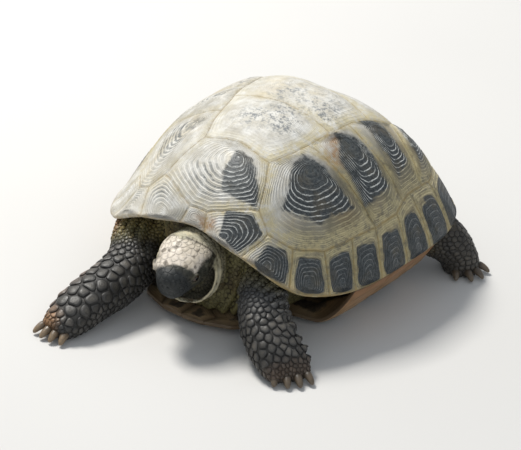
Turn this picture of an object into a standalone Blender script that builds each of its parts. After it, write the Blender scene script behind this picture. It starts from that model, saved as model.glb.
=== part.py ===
"""A steppe tortoise as a still, life-size model: walking, head half out, right forefoot stretched forward.

The animal faces -Y, its left side is +X, up is +Z, and its feet stand on z = 0. Lengths are in metres.

The carapace is one function, dome(theta, s). theta turns round the shell from the nuchal plate
(0) past the animal's left side (90 degrees) to the tail (180), and s runs from the top (0) to the
rim (1). The chart is that disk laid flat: x to the animal's left, y to the tail, s the radius.
Every plate of the carapace is a polygon in the chart.
"""
import math

import bmesh
import bpy
import numpy as np
from mathutils import Vector

# Driving dimensions of the carapace: its size, then its plan, which is a rounded square
HALF_LENGTH = 0.100
HALF_WIDTH = 0.0914
TOP_HEIGHT = 0.1128
TOP_BEHIND_MIDDLE = 0.0121
PLAN_POWER = 3.06
REAR_BROADENING = 0.070
NUCHAL_NOTCH = 0.004
NUCHAL_NOTCH_DEG = 12.0

# A plate's thickness, at the rim too, how far its middle stands up, and half a seam in the chart
PLATE = 0.0040
RIM_PLATE = 0.0026
CROWN = 0.0009
SEAM = 0.0024

# What changes round the shell, as (degrees from the nuchal plate, value)
RIM_HEIGHT = ((0, 0.065), (20, 0.0597), (45, 0.0387), (70, 0.0342), (100, 0.0355), (120, 0.0362),
              (136, 0.0372), (156, 0.0335), (180, 0.0305))
PLAN_SWELL = ((0, 2.38), (90, 2.12), (180, 1.87))
SIDE_SWELL = ((0, 1.78), (90, 1.55), (180, 1.13))
FLARE = ((0, 0.046), (45, 0.132), (85, 0.012), (112, 0.012), (135, 0.040), (180, 0.046))

# Beyond this radius a chart point is on the rim; the step for slopes in the chart; where plates thin out
ON_RIM = 0.99
CHART_STEP = 0.004
THINNING_FROM = 0.80

# Corners of the plates in the chart, on the animal's left
NUCHAL_REAR = (0.060, -0.873)
VERTEBRAL_FRONT = (0.300, -0.676)
VERTEBRAL_CORNERS = ((0.189, -0.455), (0.249, -0.254), (0.264, -0.125), (0.272, 0.000),
                     (0.262, 0.128), (0.268, 0.262), (0.205, 0.450))
MARGINAL_TOPS = ((0.515, -0.650), (0.623, -0.512), (0.675, -0.353), (0.700, -0.192), (0.700, -0.015),
                 (0.630, 0.137), (0.565, 0.318), (0.432, 0.497), (0.292, 0.625), (0.130, 0.690))
MARGINAL_RIM_DEG = (5.3, 21.5, 38.2, 51.7, 62.1, 75.1, 90.4, 105.5, 120.0, 138.0, 155.0, 170.0)
FIRST_COSTAL_FOOT = (0.397, -0.718)
COSTAL_2_3_FOOT = (0.664, 0.063)
COSTAL_3_4_FOOT = (0.591, 0.246)

# The plastron: its plan on the animal's left, and how it stands
PLASTRON_CLEAR = 0.0030
PLASTRON_PLATE = 0.0042
PLASTRON_SEAM = 0.00030
GULAR = ((0.0, -0.1000), (0.0150, -0.0985), (0.0175, -0.0890), (0.0, -0.0760))
HUMERAL = ((0.0, -0.0760), (0.0175, -0.0890), (0.0150, -0.0985), (0.0300, -0.0920), (0.0410, -0.0790),
           (0.0465, -0.0640), (0.0485, -0.0530), (0.0, -0.0480))
PECTORAL_MIDDLE = ((0.0, -0.0360), (0.0, -0.0480), (0.0485, -0.0530))
PECTORAL_REAR = ((0.0660, -0.0240), (0.0500, -0.0270))
ABDOMINAL_FRONT = ((0.0, -0.0360), (0.0500, -0.0270), (0.0660, -0.0240))
ABDOMINAL_REAR = ((0.0500, 0.0400), (0.0, 0.0240))
FEMORAL = ((0.0, 0.0240), (0.0500, 0.0400), (0.0480, 0.0560), (0.0400, 0.0730), (0.0350, 0.0770),
           (0.0, 0.0620))
ANAL = ((0.0, 0.0620), (0.0350, 0.0770), (0.0280, 0.0880), (0.0130, 0.0910), (0.0, 0.0820))
BRIDGE_DEG = (63.0, 83.0, 111.0)
BRIDGE_SPARE_DEG = 8.0
BRIDGE_FACETS = 4
BRIDGE_INNER_X = 0.060
BRIDGE_POWER = 2.2
BRIDGE_GAP = 0.0014
LOBE_LIFT = 0.0006
LOBE_START_Y = -0.060

# The body inside the shell: its rings in the chart, how far it stays inside, and where it is bare
TRUNK_SIDES = 48
TRUNK_INSIDE = 0.0088
TRUNK_RINGS = (0.12, 0.32, 0.52, 0.68)
SKIN_LINE = ((0, 0.82), (40, 0.83), (58, 0.90), (112, 0.88), (135, 0.78), (180, 0.78))
BELLY_REACH = ((0, 0.088), (20, 0.085), (42, 0.066), (60, 0.053), (90, 0.048), (118, 0.053),
               (136, 0.064), (160, 0.078), (180, 0.076))
BELLY_HEIGHT = 0.0012

# Legs, neck and tail, as stations along each: centre, half width and half height
RIGHT_FORELEG = (
    ((-0.0505, -0.062, 0.0350), 0.0172, 0.0172),
    ((-0.0465, -0.079, 0.0300), 0.0165, 0.0175),
    ((-0.0405, -0.096, 0.0228), 0.0150, 0.0158),
    ((-0.040, -0.112, 0.0180), 0.0148, 0.0145),
    ((-0.042, -0.130, 0.0150), 0.0145, 0.0132),
    ((-0.044, -0.144, 0.0108), 0.0138, 0.0118),
    ((-0.0455, -0.155, 0.0068), 0.0122, 0.0088),
    ((-0.0465, -0.1620, 0.0044), 0.0095, 0.0060),
)
LEFT_FORELEG = (
    ((0.0355, -0.0575, 0.0380), 0.0150, 0.0150),
    ((0.0395, -0.0725, 0.0355), 0.0145, 0.0148),
    ((0.0455, -0.0852, 0.0305), 0.0142, 0.0146),
    ((0.0535, -0.0940, 0.0235), 0.0148, 0.0140),
    ((0.0630, -0.0998, 0.0160), 0.0158, 0.0130),
    ((0.0735, -0.1035, 0.0095), 0.0164, 0.0108),
    ((0.0805, -0.1070, 0.0055), 0.0150, 0.0075),
    ((0.0850, -0.1095, 0.0040), 0.0125, 0.0046),
)
LEFT_HINDLEG = (
    ((0.0540, 0.0440, 0.0340), 0.0150, 0.0170),
    ((0.0670, 0.0510, 0.0310), 0.0148, 0.0165),
    ((0.0775, 0.0585, 0.0260), 0.0140, 0.0150),
    ((0.0845, 0.0650, 0.0190), 0.0130, 0.0130),
    ((0.0885, 0.0695, 0.0110), 0.0122, 0.0118),
    ((0.0905, 0.0715, 0.0040), 0.0120, 0.0116),
    ((0.0910, 0.0720, -0.0010), 0.0112, 0.0108),
)
RIGHT_HINDLEG = (
    ((-0.0520, 0.0420, 0.0340), 0.0150, 0.0170),
    ((-0.0670, 0.0460, 0.0310), 0.0148, 0.0165),
    ((-0.0800, 0.0500, 0.0255), 0.0140, 0.0150),
    ((-0.0885, 0.0540, 0.0185), 0.0130, 0.0130),
    ((-0.0925, 0.0560, 0.0110), 0.0122, 0.0118),
    ((-0.0935, 0.0565, 0.0040), 0.0120, 0.0116),
    ((-0.0938, 0.0567, -0.0010), 0.0112, 0.0108),
)
NECK = (
    ((0.0005, -0.060, 0.0400), 0.0175, 0.0215),
    ((0.0005, -0.078, 0.0398), 0.0178, 0.0222),
    ((0.0005, -0.090, 0.0388), 0.0183, 0.0230),
    ((0.0005, -0.0975, 0.0380), 0.0184, 0.0230),
    ((0.0005, -0.1012, 0.0377), 0.0174, 0.0218),
)
TAIL = (
    ((0.0, 0.066, 0.0300), 0.0085, 0.0085),
    ((0.0, 0.080, 0.0265), 0.0080, 0.0080),
    ((0.001, 0.090, 0.0205), 0.0066, 0.0066),
    ((0.003, 0.0975, 0.0135), 0.0050, 0.0050),
    ((0.006, 0.1020, 0.0075), 0.0032, 0.0032),
    ((0.008, 0.1040, 0.0035), 0.0012, 0.0012),
)

# The claws of each foot: heading in plan from +X and fan half angle in degrees, then the half width
# of their row, how far its middle and its ends are in front of the foot's last station, and its height
FOOT_CLAWS = {
    "foreleg_right": (-92.0, 16.0, 0.0072, -0.0022, -0.0040, 0.0046),
    "foreleg_left": (-42.0, 16.0, 0.0088, -0.0022, -0.0045, 0.0040),
    "hindleg_left": (-24.0, 30.0, 0.0076, 0.0084, 0.0040, 0.0036),
    "hindleg_right": (-156.0, 30.0, 0.0076, 0.0084, 0.0040, 0.0036),
}
CLAWS_ON_A_FOOT = 4
CLAW_LENGTH = 0.0100
CLAW_WIDTH = 0.0027
CLAW_ARCH = 0.0009
CLAW_TIP_HEIGHT = 0.0012
# Half width and half height of a claw at its root, bend and tip, as shares of CLAW_WIDTH
CLAW_TAPER = ((1.0, 0.75), (0.72, 0.58), (0.22, 0.20))

# The head, about an axis that rises backwards from the snout and turns to the animal's left
HEAD_SNOUT = (0.0046, -0.1257, 0.0366)
HEAD_PITCH_DEG = 27.0
HEAD_YAW_DEG = 7.0
# Sections of the head: distance behind the snout, half width, top and bottom above the axis
HEAD_SECTIONS = (
    (0.0000, 0.0030, 0.0050, -0.0060),
    (0.0012, 0.0058, 0.0078, -0.0105),
    (0.0040, 0.0085, 0.0090, -0.0130),
    (0.0080, 0.0110, 0.0096, -0.0138),
    (0.0130, 0.0136, 0.0103, -0.0142),
    (0.0190, 0.0154, 0.0112, -0.0146),
    (0.0260, 0.0166, 0.0118, -0.0148),
    (0.0320, 0.0165, 0.0114, -0.0145),
    (0.0370, 0.0148, 0.0098, -0.0130),
    (0.0405, 0.0110, 0.0068, -0.0095),
    (0.0425, 0.0055, 0.0030, -0.0045),
)
HEAD_POINTS = 20
HEAD_ROUNDNESS = 0.82
JAW_NARROWING = 0.12
EYE_RADIUS = 0.0042
EYE_POINTS = 12
EYE_RINGS = 8
EYE_BEHIND_SNOUT = 0.0140
EYE_ACROSS = 0.0116
EYE_UP = 0.0014

# The gap left between pieces that meet, and the lengths of the facets
GAP = 0.0004
CHART_FACET = 0.105
PLASTRON_FACET = 0.016
NEARLY_STRAIGHT = 0.001
CROWN_RING = 0.62
LIMB_POINTS = 14
LEG_SQUARENESS = 2.4
NECK_SQUARENESS = 2.1
ROUND = 2.0
CLAW_POINTS = 8
NECK_POINTS = 24
TAIL_POINTS = 12
FLOOR_CUTTER = 0.5

# Finishes: colour as linear red, green and blue, and roughness
FINISHES = {
    "carapace_horn": ((0.62, 0.50, 0.30), 0.55),
    "plastron_horn": ((0.42, 0.28, 0.14), 0.50),
    "body_skin": ((0.22, 0.20, 0.09), 0.80),
    "head_skin": ((0.42, 0.36, 0.27), 0.65),
    "leg_skin": ((0.10, 0.09, 0.08), 0.60),
    "eye": ((0.01, 0.01, 0.01), 0.10),
}


def clear_scene():
    for old in list(bpy.data.objects):
        bpy.data.objects.remove(old)


def material(name):
    colour, roughness = FINISHES[name]
    made = bpy.data.materials.new(name)
    made.use_nodes = True
    shader = made.node_tree.nodes["Principled BSDF"]
    shader.inputs["Base Color"].default_value = (*colour, 1.0)
    shader.inputs["Roughness"].default_value = roughness
    shader.inputs["Metallic"].default_value = 0.0
    made.diffuse_color = (*colour, 1.0)
    return made


# ---------------------------------------------------------------- curves and the dome

def along(stations, theta):
    """Smooth monotone curve through (degrees, value) stations, level at both ends, even in theta."""
    x = np.array([s[0] for s in stations], float)
    y = np.array([s[1] for s in stations], float)
    h, slope = np.diff(x), np.diff(y) / np.diff(x)
    m = np.zeros(len(x))
    for k in range(1, len(x) - 1):
        if slope[k - 1] * slope[k] > 0:
            before, after = 2 * h[k] + h[k - 1], h[k] + 2 * h[k - 1]
            m[k] = (before + after) / (before / slope[k - 1] + after / slope[k])
    a = np.clip(np.abs(np.degrees(theta)), x[0], x[-1])
    i = np.clip(np.searchsorted(x, a, side="right") - 1, 0, len(x) - 2)
    t = (a - x[i]) / h[i]
    return ((2 * t**3 - 3 * t**2 + 1) * y[i] + (t**3 - 2 * t**2 + t) * h[i] * m[i]
            + (3 * t**2 - 2 * t**3) * y[i + 1] + (t**3 - t**2) * h[i] * m[i + 1])


def rim(theta):
    """The rim of the carapace, as an array of points."""
    across, ahead = np.sin(theta), -np.cos(theta)
    reach = 1 / ((np.abs(across) / HALF_WIDTH)**PLAN_POWER
                 + (np.abs(ahead) / HALF_LENGTH)**PLAN_POWER)**(1 / PLAN_POWER)
    x, y = reach * across, reach * ahead
    x = x * (1 + REAR_BROADENING * y / HALF_LENGTH)
    y = y + NUCHAL_NOTCH * np.exp(-(np.degrees(theta) / NUCHAL_NOTCH_DEG)**2)
    return np.stack([x, y, along(RIM_HEIGHT, theta)], -1)


def dome(theta, s):
    """A point of the carapace's outer surface."""
    edge = rim(theta)
    plan, side, flare = along(PLAN_SWELL, theta), along(SIDE_SWELL, theta), along(FLARE, theta)
    phi = np.pi / 2 * s**(plan / 2)
    out = (1 - flare) * np.sin(phi)**(2 / plan) + flare * s**8
    up = np.clip(np.cos(phi), 0, 1)**(2 / side)
    centre = np.array([0.0, TOP_BEHIND_MIDDLE])
    plane = centre + (edge[..., :2] - centre) * out[..., None]
    height = edge[..., 2] + (TOP_HEIGHT - edge[..., 2]) * up
    return np.concatenate([plane, height[..., None]], -1)


def chart(points):
    """Chart points to the outer surface."""
    points = np.asarray(points, float)
    s = np.minimum(np.hypot(points[..., 0], points[..., 1]), 1.0)
    return dome(np.arctan2(points[..., 0], -points[..., 1]), s)


def chart_normal(points):
    """The outward normal at chart points, from short steps that stay on the chart."""
    points = np.asarray(points, float)
    s = np.hypot(points[..., 0], points[..., 1])[..., None]
    furthest = 1 - 2 * CHART_STEP
    base = points * np.where(s > furthest, furthest / np.maximum(s, CHART_STEP), 1.0)
    dx = chart(base + (CHART_STEP, 0)) - chart(base - (CHART_STEP, 0))
    dy = chart(base + (0, CHART_STEP)) - chart(base - (0, CHART_STEP))
    normal = np.cross(dx, dy)
    return normal / np.linalg.norm(normal, axis=-1, keepdims=True)


def rim_point(degrees):
    return (math.sin(math.radians(degrees)), -math.cos(math.radians(degrees)))


# ---------------------------------------------------------------- meshes

def add_object(name, vertices, faces, finish, smooth=False):
    mesh = bpy.data.meshes.new(name)
    mesh.from_pydata([tuple(v) for v in vertices], [], faces)
    shape = bmesh.new()
    shape.from_mesh(mesh)
    bmesh.ops.triangulate(shape, faces=shape.faces)
    bmesh.ops.recalc_face_normals(shape, faces=shape.faces)
    if shape.calc_volume(signed=True) < 0:
        bmesh.ops.reverse_faces(shape, faces=shape.faces)
    shape.to_mesh(mesh)
    shape.free()
    if smooth:
        mesh.shade_smooth()
    mesh.materials.append(finish)
    made = bpy.data.objects.new(name, mesh)
    bpy.context.scene.collection.objects.link(made)
    return made


def inward_offset(corners, insets):
    """Moves each side of a polygon inward by its own inset and returns the new corners."""
    corners = [np.array(c, float) for c in corners]
    n = len(corners)
    area = sum(corners[i][0] * corners[(i + 1) % n][1] - corners[(i + 1) % n][0] * corners[i][1]
               for i in range(n))
    turn = 1 if area > 0 else -1
    lines = []
    for i in range(n):
        along_side = corners[(i + 1) % n] - corners[i]
        inward = turn * np.array([-along_side[1], along_side[0]]) / np.linalg.norm(along_side)
        lines.append((corners[i] + inward * insets[i], along_side))
    moved = []
    for i in range(n):
        (p, d), (q, e) = lines[i - 1], lines[i]
        cross = d[0] * e[1] - d[1] * e[0]
        if abs(cross) < NEARLY_STRAIGHT * np.linalg.norm(d) * np.linalg.norm(e):
            moved.append(q.copy())
            continue
        t = ((q - p)[0] * e[1] - (q - p)[1] * e[0]) / cross
        moved.append(p + d * t)
    return moved


def subdivided(corners, longest, on_rim=False):
    """Points along a closed polygon, with no side longer than given; sides on the rim follow it."""
    points = []
    for i, start in enumerate(corners):
        end = corners[(i + 1) % len(corners)]
        count = max(1, round(float(np.linalg.norm(end - start)) / longest))
        both_out = on_rim and min(np.hypot(*start), np.hypot(*end)) > ON_RIM
        for k in range(count):
            point = start + (end - start) * k / count
            points.append(point / np.hypot(*point) if both_out else point)
    return np.array(points)


def sheet_plate(name, outline, surface, finish, crown, thickness, away):
    """A closed plate: an outer skin crowned in the middle, walls, and an inner skin."""
    middle = outline.mean(0)
    inner_ring = middle + (outline - middle) * CROWN_RING
    count = len(outline)
    every = np.concatenate([outline, inner_ring, middle[None]])
    place, normal = surface(every)
    lift = np.concatenate([np.zeros(count), np.full(count, 1 - CROWN_RING**2), [1.0]]) * crown
    outer = place + normal * lift[:, None]
    deep = np.append(thickness(outline), thickness(middle[None]))
    back = np.concatenate([place[:count], place[-1:]]) + away * deep[:, None] * np.concatenate(
        [normal[:count], normal[-1:]])
    vertices = np.concatenate([outer, back])
    top, low, low_middle = 2 * count, 2 * count + 1, 3 * count + 1
    faces = []
    for i in range(count):
        j = (i + 1) % count
        faces += [(i, j, count + j, count + i), (count + i, count + j, top),
                  (i, low + i, low + j, j), (low + i, low_middle, low + j)]
    return add_object(name, vertices, faces, finish)


def loft(name, rings, finish, smooth=True):
    """A closed body through rings of equal point counts, its ends closed by a middle point."""
    count = len(rings[0])
    vertices = [p for ring in rings for p in ring]
    vertices += [np.mean(rings[0], 0), np.mean(rings[-1], 0)]
    first_middle, last_middle = len(vertices) - 2, len(vertices) - 1
    faces = []
    for level in range(len(rings) - 1):
        for i in range(count):
            a, b = level * count + i, level * count + (i + 1) % count
            faces.append((a, b, b + count, a + count))
    start = (len(rings) - 1) * count
    for i in range(count):
        j = (i + 1) % count
        faces += [(j, i, first_middle), (start + i, start + j, last_middle)]
    return add_object(name, vertices, faces, finish, smooth)


def swollen(source, distance):
    """A cutter: the body grown outward all over."""
    grown = source.data.copy()
    shape = bmesh.new()
    shape.from_mesh(grown)
    bmesh.ops.triangulate(shape, faces=shape.faces)
    shape.normal_update()
    for vertex in shape.verts:
        vertex.co += vertex.normal * distance * vertex.calc_shell_factor()
    shape.to_mesh(grown)
    shape.free()
    cutter = bpy.data.objects.new(source.name + "_cutter", grown)
    bpy.context.scene.collection.objects.link(cutter)
    cutter.hide_render = True
    cutter.display_type = "WIRE"
    return cutter


def combine(target, other, operation):
    """Applies a Boolean of other to target and removes other."""
    modifier = target.modifiers.new(operation, "BOOLEAN")
    modifier.operation = operation
    modifier.object = other
    modifier.solver = "EXACT"
    graph = bpy.context.evaluated_depsgraph_get()
    result = bpy.data.meshes.new_from_object(target.evaluated_get(graph))
    target.modifiers.remove(modifier)
    target.data = result
    bpy.data.objects.remove(other)


def box_of(made):
    points = np.array([v.co for v in made.data.vertices])
    return points.min(0), points.max(0)


def clear_of(target, neighbours, gap=GAP):
    """Cuts target back so that it keeps the gap to each neighbour that it could touch."""
    for neighbour in neighbours:
        low, high = box_of(target)
        other_low, other_high = box_of(neighbour)
        if np.all(low < other_high + 2 * gap) and np.all(high > other_low - 2 * gap):
            combine(target, swollen(neighbour, gap), "DIFFERENCE")


# ---------------------------------------------------------------- carapace

def carapace_thickness(points):
    """The plates thin out towards the rim."""
    s = np.hypot(points[:, 0], points[:, 1])
    thin = np.clip((s - THINNING_FROM) / (1 - THINNING_FROM), 0, 1)
    return PLATE + (RIM_PLATE - PLATE) * thin**2 * (3 - 2 * thin)


def carapace_plate(name, corners, finish):
    corners = [np.array(c, float) for c in corners]
    rims = [np.hypot(*c) > ON_RIM for c in corners]
    insets = [0.0 if rims[i] and rims[(i + 1) % len(corners)] else SEAM for i in range(len(corners))]
    moved = inward_offset(corners, insets)
    moved = [m / np.hypot(*m) if r else m for m, r in zip(moved, rims)]
    outline = subdivided(moved, CHART_FACET, on_rim=True)
    return sheet_plate(name, outline, lambda p: (chart(p), chart_normal(p)), finish,
                       CROWN, carapace_thickness, -1)


def mirrored(corners):
    return [(-x, y) for x, y in corners]


def both_sides(corners):
    """A polygon symmetric about the midline, from its corners on the left, front to rear."""
    return list(corners) + mirrored(corners)[::-1]


def carapace_corners():
    """Every plate of the carapace: its name on the left side or alone, and its chart corners."""
    v = VERTEBRAL_CORNERS
    tops = (NUCHAL_REAR, VERTEBRAL_FRONT) + MARGINAL_TOPS
    rims = [rim_point(a) for a in MARGINAL_RIM_DEG]
    single = {
        "nuchal": both_sides([rims[0], NUCHAL_REAR]),
        "vertebral_1": both_sides([NUCHAL_REAR, VERTEBRAL_FRONT, v[0]]),
        "vertebral_2": both_sides([v[0], v[1], v[2]]),
        "vertebral_3": both_sides([v[2], v[3], v[4]]),
        "vertebral_4": both_sides([v[4], v[5], v[6]]),
        "vertebral_5": both_sides([v[6], tops[10], tops[11]]),
        "supracaudal": both_sides([tops[11], rims[11]]),
    }
    paired = {
        "costal_1": [VERTEBRAL_FRONT, FIRST_COSTAL_FOOT, *tops[2:6], v[1], v[0]],
        "costal_2": [v[1], tops[5], tops[6], COSTAL_2_3_FOOT, v[3], v[2]],
        "costal_3": [v[3], COSTAL_2_3_FOOT, tops[7], COSTAL_3_4_FOOT, v[5], v[4]],
        "costal_4": [v[5], COSTAL_3_4_FOOT, tops[8], tops[9], tops[10], v[6]],
    }
    for i in range(11):
        corners = [tops[i], rims[i], rims[i + 1], tops[i + 1]]
        if i == 0:
            corners.insert(3, FIRST_COSTAL_FOOT)
        if i == 1:
            corners[0] = FIRST_COSTAL_FOOT
        if i == 6:
            corners.append(COSTAL_2_3_FOOT)
        if i == 7:
            corners.append(COSTAL_3_4_FOOT)
        paired[f"marginal_{i + 1}"] = corners
    return single, paired


def make_carapace(finish):
    single, paired = carapace_corners()
    plates = [carapace_plate(name, corners, finish) for name, corners in single.items()]
    for name, corners in paired.items():
        kind, number = name.split("_")
        plates.append(carapace_plate(f"{kind}_left_{number}", corners, finish))
        plates.append(carapace_plate(f"{kind}_right_{number}", mirrored(corners), finish))
    return plates


# ---------------------------------------------------------------- plastron and bridge

def bridge_line(y):
    """Where the bridge ends at a given y: the x and z just under the rim."""
    turns = np.radians(np.linspace(BRIDGE_DEG[0] - BRIDGE_SPARE_DEG, BRIDGE_DEG[2] + BRIDGE_SPARE_DEG))
    edge = rim(turns)
    return np.interp(y, edge[:, 1], edge[:, 0]), np.interp(y, edge[:, 1], edge[:, 2]) - BRIDGE_GAP


def bridge_share(points):
    """How far plan points are out along the bridge, from 0 on the flat to 1 under the rim."""
    out_x, _ = bridge_line(points[..., 1])
    return np.clip((np.abs(points[..., 0]) - BRIDGE_INNER_X) / (out_x - BRIDGE_INNER_X), 0, 1)


def plastron_height(points):
    """The underside of the plastron over plan points: flat, rising to the bridge and a little in front."""
    _, out_z = bridge_line(points[..., 1])
    lobe = np.clip((LOBE_START_Y - points[..., 1]) / (HALF_LENGTH + LOBE_START_Y), 0, 1)
    rise = (out_z - PLASTRON_CLEAR) * bridge_share(points)**BRIDGE_POWER
    return PLASTRON_CLEAR + rise + LOBE_LIFT * lobe**2


def plastron_surface(points):
    """Places on the plastron's underside and the ways into the body: up, and level under the rim."""
    place = np.concatenate([points, plastron_height(points)[..., None]], -1)
    share = bridge_share(points)
    inward = np.stack([-np.sign(points[..., 0]) * share, np.zeros_like(share), 1 - share], -1)
    return place, inward / np.linalg.norm(inward, axis=-1, keepdims=True)


def bridge_arc(start, end):
    """Plan points under the rim from one angle to another."""
    edge = rim(np.radians(np.linspace(start, end, BRIDGE_FACETS + 1)))
    return [(x, y) for x, y, _ in edge]


def make_plastron(finish):
    front, middle, rear = BRIDGE_DEG
    plans = {
        "gular": list(GULAR),
        "humeral": list(HUMERAL),
        "pectoral": [*PECTORAL_MIDDLE, *bridge_arc(front, middle), *PECTORAL_REAR],
        "abdominal": [*ABDOMINAL_FRONT, *bridge_arc(middle, rear), *ABDOMINAL_REAR],
        "femoral": list(FEMORAL),
        "anal": list(ANAL),
    }
    plates = []
    for name, plan in plans.items():
        for side, corners in (("left", plan), ("right", mirrored(plan))):
            moved = inward_offset(corners, [PLASTRON_SEAM] * len(corners))
            outline = subdivided(moved, PLASTRON_FACET)
            plates.append(sheet_plate(f"{name}_{side}", outline, plastron_surface, finish, 0.0,
                                      lambda p: np.full(len(p), PLASTRON_PLATE), 1))
    return plates


# ---------------------------------------------------------------- flesh

def make_trunk(finish):
    """The body inside the shell, with its bare faces in the leg openings."""
    turns = np.linspace(-math.pi, math.pi, TRUNK_SIDES, endpoint=False)
    flat = np.stack([np.sin(turns), -np.cos(turns)], -1)
    rings = []
    for s in (*TRUNK_RINGS, None):
        reach = along(SKIN_LINE, turns) if s is None else np.full(TRUNK_SIDES, s)
        points = flat * reach[:, None]
        rings.append(chart(points) - chart_normal(points) * TRUNK_INSIDE)
    plan = flat * along(BELLY_REACH, turns)[:, None]
    low = plastron_height(plan) + PLASTRON_PLATE + BELLY_HEIGHT
    bottom = np.concatenate([plan, low[:, None]], -1)
    rings += [(rings[-1] + bottom) / 2, bottom]
    return loft("trunk", rings, finish)


def frame_along(direction):
    """Side and up vectors for a ring across the direction."""
    forward = direction / np.linalg.norm(direction)
    side = np.cross(forward, (0.0, 0.0, 1.0))
    side /= np.linalg.norm(side)
    return side, np.cross(side, forward)


def limb_rings(stations, count, squareness):
    """Rings across a bent limb, from elliptic at a squareness of 2 to boxy above it."""
    centres = [np.array(s[0]) for s in stations]
    rings = []
    for i, (centre, wide, high) in enumerate(stations):
        direction = centres[min(i + 1, len(centres) - 1)] - centres[max(i - 1, 0)]
        side, up = frame_along(direction)
        ring = []
        for k in range(count):
            turn = 2 * math.pi * k / count
            c, s = math.cos(turn), math.sin(turn)
            across = math.copysign(abs(c)**(2 / squareness), c) * wide
            over = math.copysign(abs(s)**(2 / squareness), s) * high
            ring.append(np.array(centre) + side * across + up * over)
        rings.append(np.array(ring))
    return rings


def stand_on_floor(body):
    """Cuts off what lies under z = 0, which leaves a flat sole."""
    shape = bmesh.new()
    bmesh.ops.create_cube(shape, size=FLOOR_CUTTER)
    bmesh.ops.translate(shape, verts=shape.verts, vec=(0, 0, -FLOOR_CUTTER / 2))
    mesh = bpy.data.meshes.new("floor_cutter")
    shape.to_mesh(mesh)
    shape.free()
    cutter = bpy.data.objects.new("floor_cutter", mesh)
    bpy.context.scene.collection.objects.link(cutter)
    combine(body, cutter, "DIFFERENCE")


def claw(name, root, tip, finish):
    """One blunt claw, a bent cone that a foot is joined with."""
    bend = (root + tip) / 2 + np.array([0, 0, CLAW_ARCH])
    stations = [(centre, CLAW_WIDTH * wide, CLAW_WIDTH * high)
                for centre, (wide, high) in zip((root, bend, tip), CLAW_TAPER)]
    return loft(name, limb_rings(stations, CLAW_POINTS, ROUND), finish)


def make_limb(name, stations, finish, neighbours):
    """A leg on a flat sole, with its claws joined on, cut clear of the body."""
    leg = loft(name, limb_rings(stations, LIMB_POINTS, LEG_SQUARENESS), finish)
    for i, (root, tip) in enumerate(claw_stations(name, stations[-1][0])):
        combine(leg, claw(f"{name}_claw_{i}", root, tip, finish), "UNION")
    stand_on_floor(leg)
    clear_of(leg, neighbours)
    return leg


def claw_stations(name, foot):
    """Root and tip of each claw of a foot, fanned about its heading."""
    heading, fan, row, front, ends, height = FOOT_CLAWS[name]
    ahead = np.array([math.cos(math.radians(heading)), math.sin(math.radians(heading)), 0.0])
    aside = np.array([-ahead[1], ahead[0], 0.0])
    claws = []
    for i in range(CLAWS_ON_A_FOOT):
        share = 2 * i / (CLAWS_ON_A_FOOT - 1) - 1
        turn = math.radians(fan * share)
        root = np.array([foot[0], foot[1], height]) + aside * row * share
        root += ahead * (front + (ends - front) * share**2)
        tip = root + (ahead * math.cos(turn) + aside * math.sin(turn)) * CLAW_LENGTH
        tip[2] = CLAW_TIP_HEIGHT
        claws.append((root, tip))
    return claws


# ---------------------------------------------------------------- head, neck and tail

def head_axes():
    """The head's backward, sideways and upward directions."""
    pitch, yaw = math.radians(HEAD_PITCH_DEG), math.radians(HEAD_YAW_DEG)
    ahead = np.array([math.sin(yaw), -math.cos(yaw), 0.0])
    up = np.array([0.0, 0.0, 1.0])
    sideways = np.array([math.cos(yaw), math.sin(yaw), 0.0])
    backward = up * math.sin(pitch) - ahead * math.cos(pitch)
    return backward, sideways, up * math.cos(pitch) + ahead * math.sin(pitch)


def head_point(behind, across, above):
    backward, sideways, upward = head_axes()
    return np.array(HEAD_SNOUT) + backward * behind + sideways * across + upward * above


def make_head(finish):
    rings = []
    for behind, wide, top, bottom in HEAD_SECTIONS:
        ring = []
        for k in range(HEAD_POINTS):
            turn = 2 * math.pi * k / HEAD_POINTS
            c, s = math.cos(turn), math.sin(turn)
            above = (top if s > 0 else -bottom) * math.copysign(abs(s)**HEAD_ROUNDNESS, s)
            across = wide * math.copysign(abs(c)**HEAD_ROUNDNESS, c)
            jaw = 1 - JAW_NARROWING * max(0.0, above / bottom)**2
            ring.append(head_point(behind, across * jaw, above))
        rings.append(np.array(ring))
    return loft("head", rings, finish)


def make_eye(name, side, finish):
    shape = bmesh.new()
    bmesh.ops.create_uvsphere(shape, u_segments=EYE_POINTS, v_segments=EYE_RINGS, radius=EYE_RADIUS)
    mesh = bpy.data.meshes.new(name)
    centre = Vector(head_point(EYE_BEHIND_SNOUT, side * EYE_ACROSS, EYE_UP))
    bmesh.ops.translate(shape, verts=shape.verts, vec=centre)
    shape.to_mesh(mesh)
    shape.free()
    mesh.shade_smooth()
    mesh.materials.append(finish)
    made = bpy.data.objects.new(name, mesh)
    bpy.context.scene.collection.objects.link(made)
    return made


def make_head_and_neck(trunk, plates, skin, head_skin, eye_finish):
    head = make_head(head_skin)
    eyes = [make_eye("eye_left", 1, eye_finish), make_eye("eye_right", -1, eye_finish)]
    for eye in eyes:
        combine(head, swollen(eye, GAP), "DIFFERENCE")
    neck = loft("neck", limb_rings(NECK, NECK_POINTS, NECK_SQUARENESS), skin)
    clear_of(neck, [trunk, *plates])
    whole_head = make_head(head_skin)
    whole_head.name = "head_shape"
    clear_of(neck, [whole_head], gap=2 * GAP)
    bpy.data.objects.remove(whole_head)
    return head, neck, eyes


def centre_on_floor(objects):
    """Moves everything so that the origin is under the middle of the whole animal's box."""
    lows, highs = zip(*(box_of(made) for made in objects))
    low, high = np.min(lows, 0), np.max(highs, 0)
    shift = Vector((-(low[0] + high[0]) / 2, -(low[1] + high[1]) / 2, 0.0))
    for made in objects:
        made.location = shift


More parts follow.
